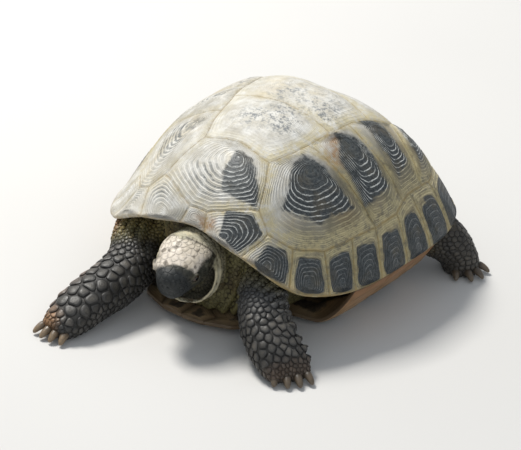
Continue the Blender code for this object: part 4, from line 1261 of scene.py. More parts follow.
def shell_tree():
    """The solid plates of the shell, for telling what they hide."""
    points, triangles, start = [], [], 0
    for name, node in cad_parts.items():
        if name.split("_")[0] not in FLESH:
            turn = np.array(node.matrix_world)
            own, faces = arrays_of(node.data)
            points.append((own + SHIFT) @ turn[:3, :3].T + turn[:3, 3] - SHIFT)
            triangles.append(faces + start)
            start += len(own)
    return tree_of(np.concatenate(points), np.concatenate(triangles))


def openness(points, normals, tree):
    """The share of the rays out of each point that miss the shell."""
    clear = np.zeros(len(points))
    for way in unit(np.random.default_rng(21).normal(size=(RAYS, 3))):
        side = np.where((normals @ way)[:, None] < 0, -way, way)
        for i in range(len(points)):
            clear[i] += tree.ray_cast(Vector(points[i]), Vector(side[i]), RAY_REACH)[0] is None
    return clear / RAYS


def spread_values(points, known_points, known_values):
    """Values at points from the nearest known ones."""
    finder = finder_of(known_points)
    return np.array([sum(known_values[i] for _, i, _ in finder.find_n(point, 3)) / 3 for point in points])


# ---------------------------------------------------------------- sculpting

LID = 0.0005
LID_BLEND = 0.0011
LID_OPENING_DEG = (43.0, 27.0)
LID_SLANT_DEG = -8.0
EYE_OUTWARD = (-0.34, 0.93, 0.13)
MOUTH_LINE = ((0.0005, -0.0072), (0.0060, -0.0060), (0.0140, -0.0066), (0.0215, -0.0092))
TYMPANUM = (0.0270, -0.0010, 0.0034)
NOSTRIL = (0.0004, 0.0019, 0.0030, 0.0009)
LIP_HEIGHT = 0.00055
MOUTH_DEPTH = 0.00075
MOUTH_WIDTH = 0.00050
NOSTRIL_DEPTH = 0.0012
EAR_RIM = 0.00030
EAR_DEPTH = 0.00035
# Fine bumps of the head's skin, as features per metre and height
HEAD_GRAIN = ((430.0, 0.00016), (900.0, 0.00007))
LID_FURROW = 0.0005
LID_EDGE = 0.00035
OPENING_DEPTH = 0.0011
EYE_REACH = 0.012
# Hills and hollows of the head: height, and middle and reach in head coordinates, the same on both sides
HEAD_HILLS = (
    (0.0005, (0.0135, 0.0118, 0.0072), (0.0065, 0.0030, 0.0022)),
    (0.0008, (0.0190, 0.0150, -0.0060), (0.0060, 0.0050, 0.0030)),
    (0.0005, (0.0050, 0.0, 0.0085), (0.0040, 0.0040, 0.0030)),
    (-0.0006, (0.0085, 0.0095, 0.0030), (0.0025, 0.0040, 0.0022)),
    (-0.0007, (0.0200, 0.0150, 0.0050), (0.0040, 0.0050, 0.0022)))


def eye_middle(side):
    return np.array([EYE_BEHIND_SNOUT, EYE_ACROSS * side, EYE_UP])


def eye_axes(side):
    """Rearward, upward and outward directions of an eye in head coordinates, as rows."""
    outward = unit(np.array(EYE_OUTWARD) * (1, side, 1))
    rearward = unit(np.array([1.0, 0, 0]) - outward * outward[0])
    upward = np.cross(outward, rearward)
    upward *= np.sign(upward[2])
    level, steep = turned(LID_SLANT_DEG)
    return np.array([rearward * level + upward * steep, upward * level - rearward * steep, outward])


def sculpted_head(points, normals, is_head):
    """Brows, cheeks, beak, mouth, nostrils, ears and lids."""
    local = in_head(points)
    behind, across, above = local[:, 0], np.abs(local[:, 1]), local[:, 2]
    mirror = np.stack([behind, across, above], -1)
    lift = sum(height * np.exp(-np.sum(((mirror - middle) / np.array(reach))**2, axis=1))
               for height, middle, reach in HEAD_HILLS)
    along_mouth = smooth(behind, 0.0235, 0.0205)
    off = above - np.interp(behind, *zip(*MOUTH_LINE))
    lift -= MOUTH_DEPTH * hill(off, MOUTH_WIDTH) * along_mouth
    beak = smooth(behind, 0.0150, 0.0080)
    upper_lip = smooth(off, 0.0, 0.0006) * smooth(off, 0.0042, 0.0020)
    lift += LIP_HEIGHT * upper_lip * (0.35 + 0.65 * beak) * along_mouth
    lift -= 0.0004 * smooth(off, -0.0002, -0.0010) * smooth(off, -0.0040, -0.0020) * beak
    for wave, size in HEAD_GRAIN:
        lift += noise(points, wave, 50) * size
    ear = np.hypot(behind - TYMPANUM[0], above - TYMPANUM[1]) / TYMPANUM[2]
    on_side = smooth(across, 0.0105, 0.0135)
    lift += (EAR_RIM * hill(ear - 1.15, 0.22) - EAR_DEPTH * smooth(ear, 1.0, 0.75)) * on_side
    nostril = np.sqrt((behind - NOSTRIL[0])**2 * 0.2 + (across - NOSTRIL[1])**2 + (above - NOSTRIL[2])**2)
    lift -= NOSTRIL_DEPTH * hill(nostril, NOSTRIL[3]) * smooth(behind, 0.004, 0.002)
    points = points + normals * (lift * (is_head * smooth(local[:, 0], 0.036, 0.032)))[:, None]

    local = in_head(points)
    for side in (1, -1):
        axes = eye_axes(side)
        rel = (local - eye_middle(side)) @ axes.T
        far = np.linalg.norm(rel, axis=1)
        turn = rel / np.maximum(far, 1e-6)[:, None]
        facing = turn[:, 2]
        rear, up = (np.degrees(np.arctan2(turn[:, k], facing)) / LID_OPENING_DEG[k] for k in (0, 1))
        almond = np.where(facing > 0, np.hypot(rear, up), 9.0)
        cover = EYE_RADIUS + LID + LID_EDGE * hill(almond - 1.22, 0.16)
        covered = cover + LID_BLEND * np.logaddexp(0, (far - cover) / LID_BLEND * 3) / 3
        covered -= LID_FURROW * hill(almond - 1.95, 0.22) * smooth(far, 0.0085, 0.0060) * (facing > 0)
        opened = EYE_RADIUS - OPENING_DEPTH
        reach = covered + (opened - covered) * smooth(almond, 1.06, 0.94)
        moved = eye_middle(side) + (turn * reach[:, None]) @ axes
        local = np.where(((far < EYE_REACH) & is_head)[:, None], moved, local)
    return np.where(is_head[:, None], out_of_head(local), points)


# Spacing and height of the folds of the neck and the shoulders, and of the lines of the collar
NECK_FOLD = (0.0034, 0.00040)
SHOULDER_FOLD = (0.0062, 0.00125)
COLLAR_LINE = (0.0012, 0.00013)
NECK_MIDDLE = (0.0005, 0.0385)
NECK_SIZE = (0.0182, 0.0228)


def folded(points, normals, is_head):
    """Folds of loose skin on the neck and shoulders, and round the roots of the forelegs."""
    x, y, z = points.T
    behind_collar = smooth(y, -0.0975, -0.0920)
    off_axis = np.hypot((x - NECK_MIDDLE[0]) / NECK_SIZE[0], (z - NECK_MIDDLE[1]) / NECK_SIZE[1])
    on_neck = smooth(off_axis, 0.80, 0.98) * smooth(off_axis, 1.9, 1.25)
    wander = noise(points, 70.0, 60)
    step, height = NECK_FOLD
    ring_folds = np.cos(2 * np.pi * (y + 0.0012 * wander) / step) * behind_collar * on_neck * height
    shoulder = smooth(y, -0.050, -0.064) * smooth(off_axis, 1.15, 1.6) * behind_collar
    step, height = SHOULDER_FOLD
    fall = np.abs(x) + 0.35 * (0.05 - z) + 0.0035 * wander
    drape = np.cos(2 * np.pi * fall / step) * shoulder * height
    fine = (noise(points, 260.0, 61) * 0.00030 + noise(points, 600.0, 62) * 0.00014)
    return points + normals * ((ring_folds + drape + fine) * ~is_head)[:, None]


def collar_lines(points, normals):
    """Fine lines that run along the rolls of the collar."""
    centre, wide, high, _, slant = COLLAR_ROLLS[0]
    x, y, z = (points - np.array(centre)).T
    off = np.hypot(x / wide, z / high) - 1
    near = hill(off, 0.14) * smooth(np.abs(y - x * slant), 0.0050, 0.0035)
    step, height = COLLAR_LINE
    lines = np.cos(2 * np.pi * (y - x * slant + 0.0003 * noise(points, 150.0, 63)) / step)
    return points + normals * (lines * near * height)[:, None]


def limb_place(points, name):
    """Where points are along a limb: distance from its root, its length, the turn round it, and its way."""
    table = between(LIMBS[name], RING_STEP)
    centres = table[:, :3]
    forward, side, up = frames_along(centres)
    nearest = np.argmin(np.linalg.norm(points[:, None] - centres[None], axis=2), axis=1)
    travelled = np.concatenate([[0], np.cumsum(np.linalg.norm(np.diff(centres, axis=0), axis=1))])
    rel = points - centres[nearest]
    turn = np.arctan2(np.sum(rel * up[nearest], 1), np.sum(rel * side[nearest], 1))
    step = np.sum(rel * forward[nearest], 1)
    return travelled[nearest] + step, travelled[-1], turn, forward[nearest]


def refined(mesh, wanted):
    """The mesh with the faces whose points are all wanted divided in four."""
    shape = bmesh.new()
    shape.from_mesh(mesh)
    shape.verts.ensure_lookup_table()
    chosen = [e for e in shape.edges if wanted[e.verts[0].index] and wanted[e.verts[1].index]]
    bmesh.ops.subdivide_edges(shape, edges=chosen, cuts=1, use_grid_fill=True, smooth=0.0)
    shape.to_mesh(mesh)
    shape.free()
    return mesh


def is_of(region, name):
    return region == REGIONS.index(name)


# Skin that fewer of the rays leave than this, higher than this, is hidden in the shell and loses this
# share of its faces; the rays start at this many samples
HIDDEN_BELOW = 0.06
THINNED_ABOVE = 0.006
THINNED_SHARE = 0.94
OPEN_SAMPLES = 9000
# Where the head's faces are divided in four: so far behind the snout, and so near an eye
REFINED = ((0.033, 0.010), (0.010, 0.0085))
RIDGE_HEIGHT = 0.0007


def skin_mesh(tree, bodies, region_of):
    """The shape of the whole skin."""
    mesh = modified(mesh_of("flesh", *joined([body for _, body in bodies])), "REMESH",
                    mode="VOXEL", voxel_size=SKIN_CELL)
    points, triangles = arrays_of(mesh)
    edges = edges_of(mesh)
    points = relaxed(inside_shell(relaxed(points, edges, 5)), edges, 2)
    points = inside_shell(points)
    points[:, 2] = np.maximum(points[:, 2], SOLE_HEIGHT)
    set_points(mesh, points)

    normals = normals_of(points, triangles)
    some = np.random.default_rng(5).permutation(len(points))[:OPEN_SAMPLES]
    clear = openness(points[some] + normals[some] * 0.0003, normals[some], tree)
    hidden = (spread_values(points, points[some], clear) < HIDDEN_BELOW) & (points[:, 2] > THINNED_ABOVE)
    mesh = modified(mesh, "DECIMATE", hidden, ratio=1 - THINNED_SHARE * hidden.mean(), vertex_group="hidden",
                    vertex_group_factor=1000.0)

    for behind, round_eye in REFINED:
        points, _ = arrays_of(mesh)
        local = in_head(points)
        eyes = np.min([np.linalg.norm(local - eye_middle(side), axis=1) for side in (1, -1)], 0)
        near = (local[:, 0] < behind) | (eyes < round_eye)
        mesh = refined(mesh, near & is_of(region_of(points), "head"))
    points, triangles = arrays_of(mesh)
    points = relaxed(points, edges_of(mesh), 2)
    is_head = is_of(region_of(points), "head")
    points = sculpted_head(points, normals_of(points, triangles), is_head)
    points = folded(points, normals_of(points, triangles), is_head)
    points = inside_shell(collar_lines(points, normals_of(points, triangles)))
    points[:, 2] = np.maximum(points[:, 2], SOLE_HEIGHT)
    set_points(mesh, points)
    return mesh


# ---------------------------------------------------------------- markings of the skin and its scales

CREAM_HEAD = (0.70, 0.63, 0.54)
FLECK = (0.16, 0.135, 0.105)
# The dark cheek and the slate beak are partly the head's own colour and partly painted shade
SHADED_DARK_CHEEK = (0.030, 0.030, 0.022)
SHADED_SLATE_BEAK = (0.017, 0.020, 0.021)
THROAT = (0.070, 0.060, 0.030)
COLLAR = (0.44, 0.41, 0.30)
OLIVE = (0.115, 0.102, 0.042)
FOLD_BROWN = (0.050, 0.033, 0.014)
LEG_GREY = (0.034, 0.033, 0.031)
LEG_PALE = (0.13, 0.12, 0.108)
LEG_DARK = (0.012, 0.011, 0.010)
FOOT_ORANGE = (0.26, 0.135, 0.055)
HIND_GREY = (0.036, 0.032, 0.026)


def painted(colour, *layers):
    """A colour at points under layers of (colour, share)."""
    for over, share in layers:
        share = np.asarray(share)[:, None]
        colour = np.asarray(colour) * (1 - share) + np.asarray(over) * share
    return colour


def head_colours(points, rough, fine, collar):
    """Cream and flecked on the crown, dark on the cheek and the beak, and like the collar at the back. The
    crown's cream is partly painted sunlight, the dark cheek and beak partly painted shade.
    """
    behind, across, above = in_head(points).T
    line = np.interp(behind, (0.0, 0.006, 0.014, 0.024, 0.034), (0.0035, 0.0034, 0.0050, 0.0044, 0.0032))
    # The crown's cream reaches lower on the sunlit right: painted sunlight
    line = line - 0.0035 * smooth(across, 0.0, -0.008)
    crown = smooth(above - line + 0.0011 * rough + 0.0006 * fine, -0.0012, 0.0012)
    front = 0.0122 + 0.42 * np.minimum(across, 0) + 0.22 * np.maximum(across, 0)
    crown = crown * smooth(behind - front + 0.0010 * rough + 0.0008 * fine, -0.0013, 0.0010)
    streaks = hill(noise(points, 240.0, 78), 0.07) * smooth(noise(points, 110.0, 79), -0.1, 0.4)
    # The dark side is partly painted shade; its last layer lightens the right cheek as painted sunlight
    side = painted(SHADED_DARK_CHEEK, ((0.085, 0.078, 0.050), smooth(fine + rough, 0.1, 0.8) * 0.6),
                   ((0.17, 0.16, 0.115), streaks * 0.6),
                   (THROAT, smooth(above, -0.0085, -0.0125) * smooth(behind, 0.006, 0.014)),
                   ((0.42, 0.37, 0.27), smooth(across, -0.007, -0.013) * 0.7))
    cracks = hill(noise(points, 190.0, 76), 0.05) * smooth(noise(points, 90.0, 77), -0.1, 0.3)
    top = painted(CREAM_HEAD, ((0.46, 0.40, 0.31), smooth(noise(points, 150.0, 75), 0.0, 0.6) * 0.7),
                  (FLECK, smooth(noise(points, 330.0, 72) + 0.5 * fine, 0.36, 0.62) * 0.8),
                  (FLECK, cracks * 0.55),
                  ((0.50, 0.46, 0.36), smooth(behind, 0.022, 0.034) * 0.5))
    right_lid = np.exp(-((behind - EYE_BEHIND_SNOUT)**2 + (above - 0.0040)**2) / 0.0048**2) * smooth(
        across, -0.0085, -0.0105)
    # The dark line where the collar meets the crown is painted shade in the gap between them
    return painted(side, (top, crown),
                   (SHADED_SLATE_BEAK, smooth(behind + 0.0009 * rough, 0.0120, 0.0080) * 0.93),
                   (collar, smooth(behind, 0.0328, 0.0338)),
                   ((0.045, 0.040, 0.025), hill(behind - 0.0322 - 0.0004 * rough, 0.0008) * 0.9),
                   ((0.095, 0.084, 0.062), right_lid * smooth(fine - rough, -0.9, 0.1)))


def skin_colours(points, region):
    """The colour of the skin and its scales at each point."""
    x, y, z = points.T
    rough, fine = noise(points, 120.0, 70), noise(points, 420.0, 71)
    shoulder = smooth(x, -0.016, -0.030) * smooth(y, -0.04, -0.06) * smooth(z, 0.030, 0.042)
    colour = painted(OLIVE, (FOLD_BROWN, smooth(rough + 0.6 * fine, 0.1, 0.9)),
                     ((0.17, 0.15, 0.060), smooth(x, 0.012, 0.035) * smooth(y, -0.05, -0.075) * 0.6),
                     (FOLD_BROWN, smooth(y, -0.02, 0.03) * 0.7),
                     ((0.27, 0.215, 0.085), shoulder * 0.75 * smooth(rough + fine, -0.7, 0.3)),
                     ((0.25, 0.10, 0.04), shoulder * smooth(x, -0.050, -0.062) * 0.7))
    collar = painted(COLLAR, (OLIVE, smooth(rough, 0.1, 0.8) * 0.5))
    centre, wide, high, _, slant = COLLAR_ROLLS[0]
    out = np.hypot((x - centre[0]) / wide, (z - centre[2]) / high)
    # Inside the collar the neck is painted dark, as painted shade in the recess round the head
    lining = painted((0.030, 0.027, 0.014), (collar, smooth(out, 0.945, 0.975)))
    neck = painted(colour, (lining, smooth(y - slant * x, -0.0885, -0.0945)))
    colour = np.where(is_of(region, "neck")[:, None], neck, colour)
    colour = np.where(is_of(region, "head")[:, None], head_colours(points, rough, fine, collar), colour)

    for name in (*LEGS, "tail"):
        far, length, _, _ = limb_place(points, name)
        fore = name.startswith("fore")
        base = painted(LEG_GREY if fore else HIND_GREY, (LEG_DARK, smooth(rough + fine, 0.1, 0.9) * 0.7),
                       (LEG_PALE, smooth(fine - rough, 0.35, 1.0) * 0.35))
        if fore:
            # On the forefeet the FOOT_ORANGE tone is partly their own colour; on the right forefoot it is
            # strongest on the outer, sunlit side, as painted sunlight
            foot = smooth(far, length - 0.012, length - 0.002) * smooth(z, 0.0005, 0.004)
            sunlit_share = 0.80 * smooth(x, -0.040, -0.050) if name.endswith("right") else 0.15
            base = painted(base, (FOOT_ORANGE, foot * sunlit_share))
        if name == "foreleg_right":
            # The outer edge of the right foreleg, towards the key light, is painted paler: painted sunlight
            edge = smooth(x, -0.046, -0.054) * smooth(far, 0.030, 0.055)
            base = painted(base, ((0.30, 0.22, 0.175), edge * 0.5 * smooth(rough + fine, -0.4, 0.5)))
        if name == "foreleg_left":
            # Bluish grey over the upper left foreleg: painted sky highlight
            base = painted(base, ((0.065, 0.068, 0.072), smooth(far, 0.055, 0.030) * 0.6))
        start = smooth(far + 0.004 * rough, 0.020, 0.036)
        colour = np.where(is_of(region, name)[:, None], painted(colour, (base, start)), colour)
    return np.clip(colour, 0.004, 0.9)


# ---------------------------------------------------------------- scales

# The side of each leg with the large scales
EXTENSOR = {"foreleg_right": (-0.15, -0.35, 0.92), "foreleg_left": (0.30, -0.78, 0.55),
            "hindleg_left": (0.70, 0.50, 0.50), "hindleg_right": (-0.70, 0.50, 0.50)}
PLAIN_SCALE = {"trunk": 0.0026, "neck": 0.0020, "tail": 0.0024}
FACE_SCALE = 0.0019
LEG_SCALE = 0.0025
LARGEST_SCALE = {"foreleg_right": 0.0068, "foreleg_left": 0.0047,
                 "hindleg_left": 0.0036, "hindleg_right": 0.0036}
SCALE_GROOVE = 0.00020
LARGE_SCALE = 0.0034
RELIEF = {"head": 0.18, "neck": 0.16, "trunk": 0.18, "tail": 0.8}
# Points round a scale, and the share of its width and of its height at each ring, from below
LARGE_PROFILE = (18, ((0.90, -0.9), (1.0, 0.30), (0.88, 0.66), (0.66, 0.92), (0.36, 1.0)))
SMALL_PROFILE = (10, ((0.90, -0.9), (1.0, 0.30), (0.70, 0.88)))
SCALE_RISE = 0.17
SCALE_HEIGHTS = (0.00022, 0.00085)
# How square the corners of a scale are, places tried for each, and the least distance by its width
CORNERS = 15.0
CANDIDATES = 13
SPACING = 0.80
SEEN_SHARE = 0.09


def scale_sizes(points, normals, region):
    """How wide the scales are at each point; 0 where there are none."""
    local = in_head(points)
    behind, across, above = local[:, 0], np.abs(local[:, 1]), local[:, 2]
    size = np.zeros(len(points))
    for name, wide in PLAIN_SCALE.items():
        size[is_of(region, name)] = wide

    crown = smooth(above - np.interp(behind, (0.0, 0.014, 0.034), (0.0045, 0.0062, 0.0060)), -0.0010, 0.0016)
    face = FACE_SCALE + crown * (FACE_SCALE - 0.0009 * smooth(behind, 0.020, 0.032))
    eye = np.linalg.norm(np.stack([behind - EYE_BEHIND_SNOUT, across - 0.0135, above - EYE_UP], -1), axis=1)
    face = face - 0.0006 * smooth(eye, 0.0075, 0.0052)
    mouth = np.interp(behind, *zip(*MOUTH_LINE))
    beak = (behind < 0.0150 - 0.20 * (above - mouth)) & (above - mouth < 0.0040) & (above > mouth - 0.0045)
    snout = (behind < 0.0042) & (above < 0.0055)
    ear = np.hypot(behind - TYMPANUM[0], above - TYMPANUM[1]) < TYMPANUM[2] * 1.05
    face[beak | snout | (ear & (across > 0.012)) | (eye < 0.0047)] = 0.0
    size = np.where(is_of(region, "head"), face, size)

    for name in LEGS:
        far, length, _, _ = limb_place(points, name)
        share = far / length
        grown = smooth(share, 0.34, 0.64) * smooth(share, 0.99, 0.86)
        if name == "foreleg_right":
            grown = smooth(share, 0.30, 0.52) * smooth(share, 1.0, 0.88)
        facing = smooth(normals @ np.array(EXTENSOR[name]), -0.25, 0.35)
        own = LEG_SCALE + (LARGEST_SCALE[name] - LEG_SCALE) * grown * (0.25 + 0.75 * facing)
        size = np.where(is_of(region, name), own, size)
    rolls = np.zeros(len(points), bool)
    for centre, wide, high, thick, slant in COLLAR_ROLLS:
        x, y, z = (points - np.array(centre)).T
        off = np.abs(np.hypot(x / wide, z / high) - 1) * wide
        rolls |= (off < thick * 1.6) & (np.abs(y - x * slant) < thick * 1.5)
    size[rolls & ~is_of(region, "head")] = 0.0
    size[(points[:, 2] < 0.0006) & (normals[:, 2] < -0.5)] = 0.0
    return size


def scale_lies(points, normals, region):
    """The way the scales lie: down the legs and tail, back over the head, and down elsewhere."""
    lies = np.broadcast_to(np.array([0.0, 0.3, -1.0]), points.shape).copy()
    lies[is_of(region, "neck")] = (0.0, 1.0, 0.0)
    lies[is_of(region, "head")] = HEAD_AXES[0]
    for name in (*LEGS, "tail"):
        ours = is_of(region, name)
        if ours.any():
            lies[ours] = limb_place(points[ours], name)[3]
    lies = lies - normals * np.sum(lies * normals, 1, keepdims=True)
    spare = np.cross(normals, (0.3, 0.5, 0.81))
    return unit(np.where(np.linalg.norm(lies, axis=1, keepdims=True) > 0.05, lies, spare))


def sampled(points, triangles, normals, sizes, rng):
    """Random places over the skin, denser where the scales are smaller."""
    corners = points[triangles]
    area = np.linalg.norm(np.cross(corners[:, 1] - corners[:, 0], corners[:, 2] - corners[:, 0]), axis=1) / 2
    size = sizes[triangles].min(1)
    density = np.where(size > 0, area / np.maximum(size, 1e-4)**2, 0.0)
    count = int(density.sum() * CANDIDATES)
    face = rng.choice(len(triangles), count, p=density / density.sum())
    u, v = rng.random((2, count))
    flip = u + v > 1
    u, v = np.where(flip, 1 - u, u), np.where(flip, 1 - v, v)
    share = np.stack([1 - u - v, u, v], -1)
    place = np.einsum("nk,nkd->nd", share, corners[face])
    return place, unit(np.einsum("nk,nkd->nd", share, normals[triangles[face]])), size[face]


def spaced(places, sizes):
    """Indices of places that keep their spacing."""
    finder = finder_of(places)
    free = np.ones(len(places), bool)
    kept = []
    for i in range(len(places)):
        if free[i]:
            kept.append(i)
            for _, j, _ in finder.find_range(places[i], sizes[i] * SPACING):
                free[j] = False
    return np.array(kept)


def evened(seeds, sizes, places):
    """Moves each seed to the middle of the places that lie nearest to it."""
    finder = finder_of(seeds)
    owner = np.empty(len(places), int)
    for k, place in enumerate(places):
        owner[k] = min(finder.find_n(place, 3), key=lambda found: found[2] / sizes[found[1]])[1]
    count = np.maximum(np.bincount(owner, minlength=len(seeds)), 1)[:, None]
    centre = np.stack([np.bincount(owner, places[:, k], len(seeds)) for k in range(3)], -1) / count
    return np.where(count > 2, centre, seeds)


def scale_outlines(seeds, sizes, lies, sides, turns):
    """How far each scale reaches each way, from the middle lines to its neighbours, corners rounded."""
    finder = finder_of(seeds)
    reach = np.empty((len(seeds), len(turns)))
    ways = np.stack([np.cos(turns), np.sin(turns)], -1)
    for i, seed in enumerate(seeds):
        near = [j for _, j, _ in finder.find_range(seed, sizes[i] * 2.6) if j != i][:28]
        limit = np.full(len(turns), sizes[i] * 0.74)
        if near:
            rel = seeds[near] - seed
            flat = np.stack([rel @ lies[i], rel @ sides[i]], -1)
            far, full = np.linalg.norm(flat, axis=1), np.linalg.norm(rel, axis=1)
            flat = flat * (full / np.maximum(far, 1e-6))[:, None]
            half = (full**2 + (sizes[i]**2 - sizes[near]**2) * 0.20) / 2
            toward = ways @ flat.T
            cut = np.where(toward > 1e-9, half / np.maximum(toward, 1e-9), np.inf)
            cut = np.maximum(cut, sizes[i] * 0.18)
            limit = (limit**-CORNERS + np.sum(cut**-CORNERS, axis=1))**(-1 / CORNERS)
        reach[i] = limit
    grooves = SCALE_GROOVE * np.clip(sizes / 0.003, 0.5, 2.2)
    return np.maximum(reach - grooves[:, None] / 2, sizes[:, None] * 0.15)


TRUNK_HEIGHT = 0.09
PATCH_SIZE = 0.0030


def unwrapped(points, name):
    """Where points are on an unwrap of their part of the skin: round it, and along it."""
    if name == "head":
        local = in_head(points)
        turn, share = np.arctan2(local[:, 1], local[:, 2]), local[:, 0] / HEAD_LENGTH
    elif name == "trunk":
        turn, share = np.arctan2(points[:, 0], -points[:, 1]), points[:, 2] / TRUNK_HEIGHT
    else:
        far, length, turn, _ = limb_place(points, name)
        share = far / length
    return np.stack([turn / (2 * np.pi) + 0.5, 0.05 + 0.9 * np.clip(share, 0, 1)], -1) * 0.98 + 0.01


def scales_on(name, seeds, normals, sizes, lies, tree, material, rng, large):
    """One mesh of closed scales of one part of the body."""
    chosen = sizes >= LARGE_SCALE if large else sizes < LARGE_SCALE
    if not chosen.any():
        return
    count, profile = LARGE_PROFILE if large else SMALL_PROFILE
    turns, sides = full_turn(count), np.cross(normals, lies)
    reach = scale_outlines(seeds, sizes, lies, sides, turns)[chosen]
    seeds, normals, sizes, lies, sides = (v[chosen] for v in (seeds, normals, sizes, lies, sides))
    height = np.clip(sizes * SCALE_RISE, *SCALE_HEIGHTS) * (0.85 + 0.3 * rng.random(len(sizes)))
    height = height * RELIEF.get(name, 1.0)
    tilt = 0.55 if name in LEGS else 0.25
    rows = []
    for share, level in profile:
        flat = reach * share
        up = height[:, None] * level * (1 + tilt * np.cos(turns) * share * (level > 0))
        rows.append(np.stack([flat * np.cos(turns), flat * np.sin(turns), up], -1))
    middle = np.zeros((len(seeds), 2, 3))
    middle[:, 0, 2], middle[:, 1, 2] = height * 1.03, -height * 0.9
    local = np.concatenate([*rows, middle], axis=1)
    repeat = local.shape[1]
    place = seeds[:, None] + lies[:, None] * local[..., :1] + sides[:, None] * local[..., 1:2]
    place = place.reshape(-1, 3)
    points = np.empty_like(place)
    outward, lifts = np.repeat(normals, repeat, axis=0), local[..., 2].ravel()
    for i, (point, out, lift) in enumerate(zip(place, outward, lifts)):
        found, normal, _, _ = tree.find_nearest(Vector(point))
        way = out + 0.5 * np.array(normal)
        points[i] = np.array(found) + way * (lift / math.sqrt(way @ way))

    base = np.arange(len(seeds))[:, None, None] * repeat
    top = (len(profile) - 1) * count
    fans = np.concatenate([fan(top, count, repeat - 2), fan(0, count, repeat - 1, True)])
    mesh = mesh_of(f"scales_{name}", points, (base + grid_quads(len(profile), count)).reshape(-1, 4),
                   (base + fans).reshape(-1, 3))
    # The lowest ring is hidden, and counts as the scale's edge
    rho = [1.0, *(share for share, _ in profile[1:])]
    keel = np.clip((sizes - 0.0022) / 0.0020, 0.1, 1.0) * (0.25 if name == "head" else 1.0)
    if name == "head":
        colour = skin_colours(points, np.full(len(points), REGIONS.index(name)))
    else:
        colour = skin_colours(seeds, np.full(len(seeds), REGIONS.index(name)))
        colour = np.repeat(colour * (1 + 0.5 * (rng.random(len(seeds)) - 0.42))[:, None], repeat, axis=0)
    add_attributes(mesh, rho=np.tile([*np.repeat(rho, count), 0.0, 1.0], len(seeds)),
                   keel=np.repeat(keel, repeat), tint=np.clip(colour, 0.004, 0.95))
    patch = np.repeat(unwrapped(seeds, name), repeat, axis=0).reshape(-1, repeat, 2)
    patch = patch + local[..., :2] / sizes[:, None, None] * PATCH_SIZE
    corners = numbers_of(mesh.loops, "vertex_index", 1, np.int32)[:, 0]
    layer = mesh.uv_layers.new(name="OFBake")
    layer.data.foreach_set("uv", patch.reshape(-1, 2)[corners].astype(np.float32).ravel())
    add_piece(f"scales_{name}_{'large' if large else 'small'}", mesh, material)


def build_scales(mesh, shell, region_of):
    rng = np.random.default_rng(77)
    points, triangles = arrays_of(mesh)
    normals = normals_of(relaxed(points, edges_of(mesh), 4), triangles)
    region = region_of(points)
    sizes = scale_sizes(points, normals, region)
    places, place_normals, place_sizes = sampled(points, triangles, normals, sizes, rng)
    kept = spaced(places, place_sizes)
    clear = openness(places[kept] + place_normals[kept] * 0.0006, place_normals[kept], shell)
    kept = kept[clear > SEEN_SHARE]
    tree = tree_of(points, triangles)
    found = [tree.find_nearest(Vector(seed)) for seed in evened(places[kept], place_sizes[kept], places)]
    seeds = np.array([f[0] for f in found])
    face = triangles[[f[2] for f in found]]
    normals, region, sizes = unit(normals[face].mean(1)), region[face[:, 0]], place_sizes[kept]
    lies = scale_lies(seeds, normals, region)
    materials = {"head_skin": scale_material("head_scales", 0.42, 0.64, 0.36, 0.22),
                 "leg_skin": scale_material("leg_scales", 0.36, 0.58, 0.45, 1.0),
                 "body_skin": scale_material("body_scales", 0.45, 0.66, 0.36, 0.6)}
    for name in REGIONS:
        ours = is_of(region, name)
        slot = "head_skin" if name == "head" else "leg_skin" if name in LEGS else "body_skin"
        for large in (True, False):
            if ours.any():
                scales_on(name, seeds[ours], normals[ours], sizes[ours], lies[ours], tree,
                          materials[slot], rng, large)


# ---------------------------------------------------------------- claws and eyes

def horn_claw(root, tip):
    """One blunt, worn claw: a bent cone round its line, from inside the toe, and the share along it."""
    ahead = unit(tip - root)
    side = unit(np.cross(ahead, (0, 0, 1.0)))
    share = np.concatenate([np.linspace(-0.12, 0.9, 12), [0.95, 0.98, 1.0]])
    turn = full_turn(18)
    width = CLAW_WIDTH * np.interp(share, *zip(*CLAW_TAPER))
    arch = CLAW_ARCH * np.sin(np.pi * np.clip(share, 0, 1))
    line = root + np.outer(share * np.linalg.norm(tip - root), ahead) + np.outer(arch, (0, 0, 1.0))
    flat = np.where(np.sin(turn) < 0, *CLAW_FLATNESS)
    rings = rings_round(line, side, np.cross(side, ahead), width[:, None] * np.cos(turn),
                        width[:, None] * np.sin(turn) * flat)
    return closed_loft(rings), np.append(np.repeat(share, len(turn)), [0.0, 1.0])


def build_claws():
    material = claw_horn()
    for name in LEGS:
        made = [horn_claw(root, tip) for root, tip in claw_places(name)]
        mesh = mesh_of(f"claws_{name}", *joined([body for body, _ in made]))
        share = np.concatenate([share for _, share in made])
        # Every claw but those of the sunlit right forefoot is painted darker, as painted shade
        soiled = 0.10 if name == "foreleg_right" else 0.62
        add_attributes(mesh, share=share, soiled=np.full(len(share), soiled))
        add_piece(f"claws_{name}", mesh, material)


def build_eyes():
    material = eye_material()
    polar = np.concatenate([[0.0005], np.linspace(0.04, np.pi - 0.02, 40)])
    turn = full_turn(48)
    for name, side in (("eye_left", 1), ("eye_right", -1)):
        radius = EYE_RADIUS + CORNEA * hill(polar, 0.55)
        local = np.stack([radius[:, None] * np.sin(polar)[:, None] * np.cos(turn),
                          radius[:, None] * np.sin(polar)[:, None] * np.sin(turn),
                          np.repeat((radius * np.cos(polar))[:, None], len(turn), 1)], -1)
        rings = out_of_head((eye_middle(side) + local @ eye_axes(side)).reshape(-1, 3)).reshape(local.shape)
        mesh = mesh_of(f"{name}_ball", *closed_loft(rings))
        add_attributes(mesh, off_axis=np.append(np.repeat(np.degrees(polar), len(turn)), [0.0, 180.0]))
        add_piece(f"{name}_ball", mesh, material, [name])


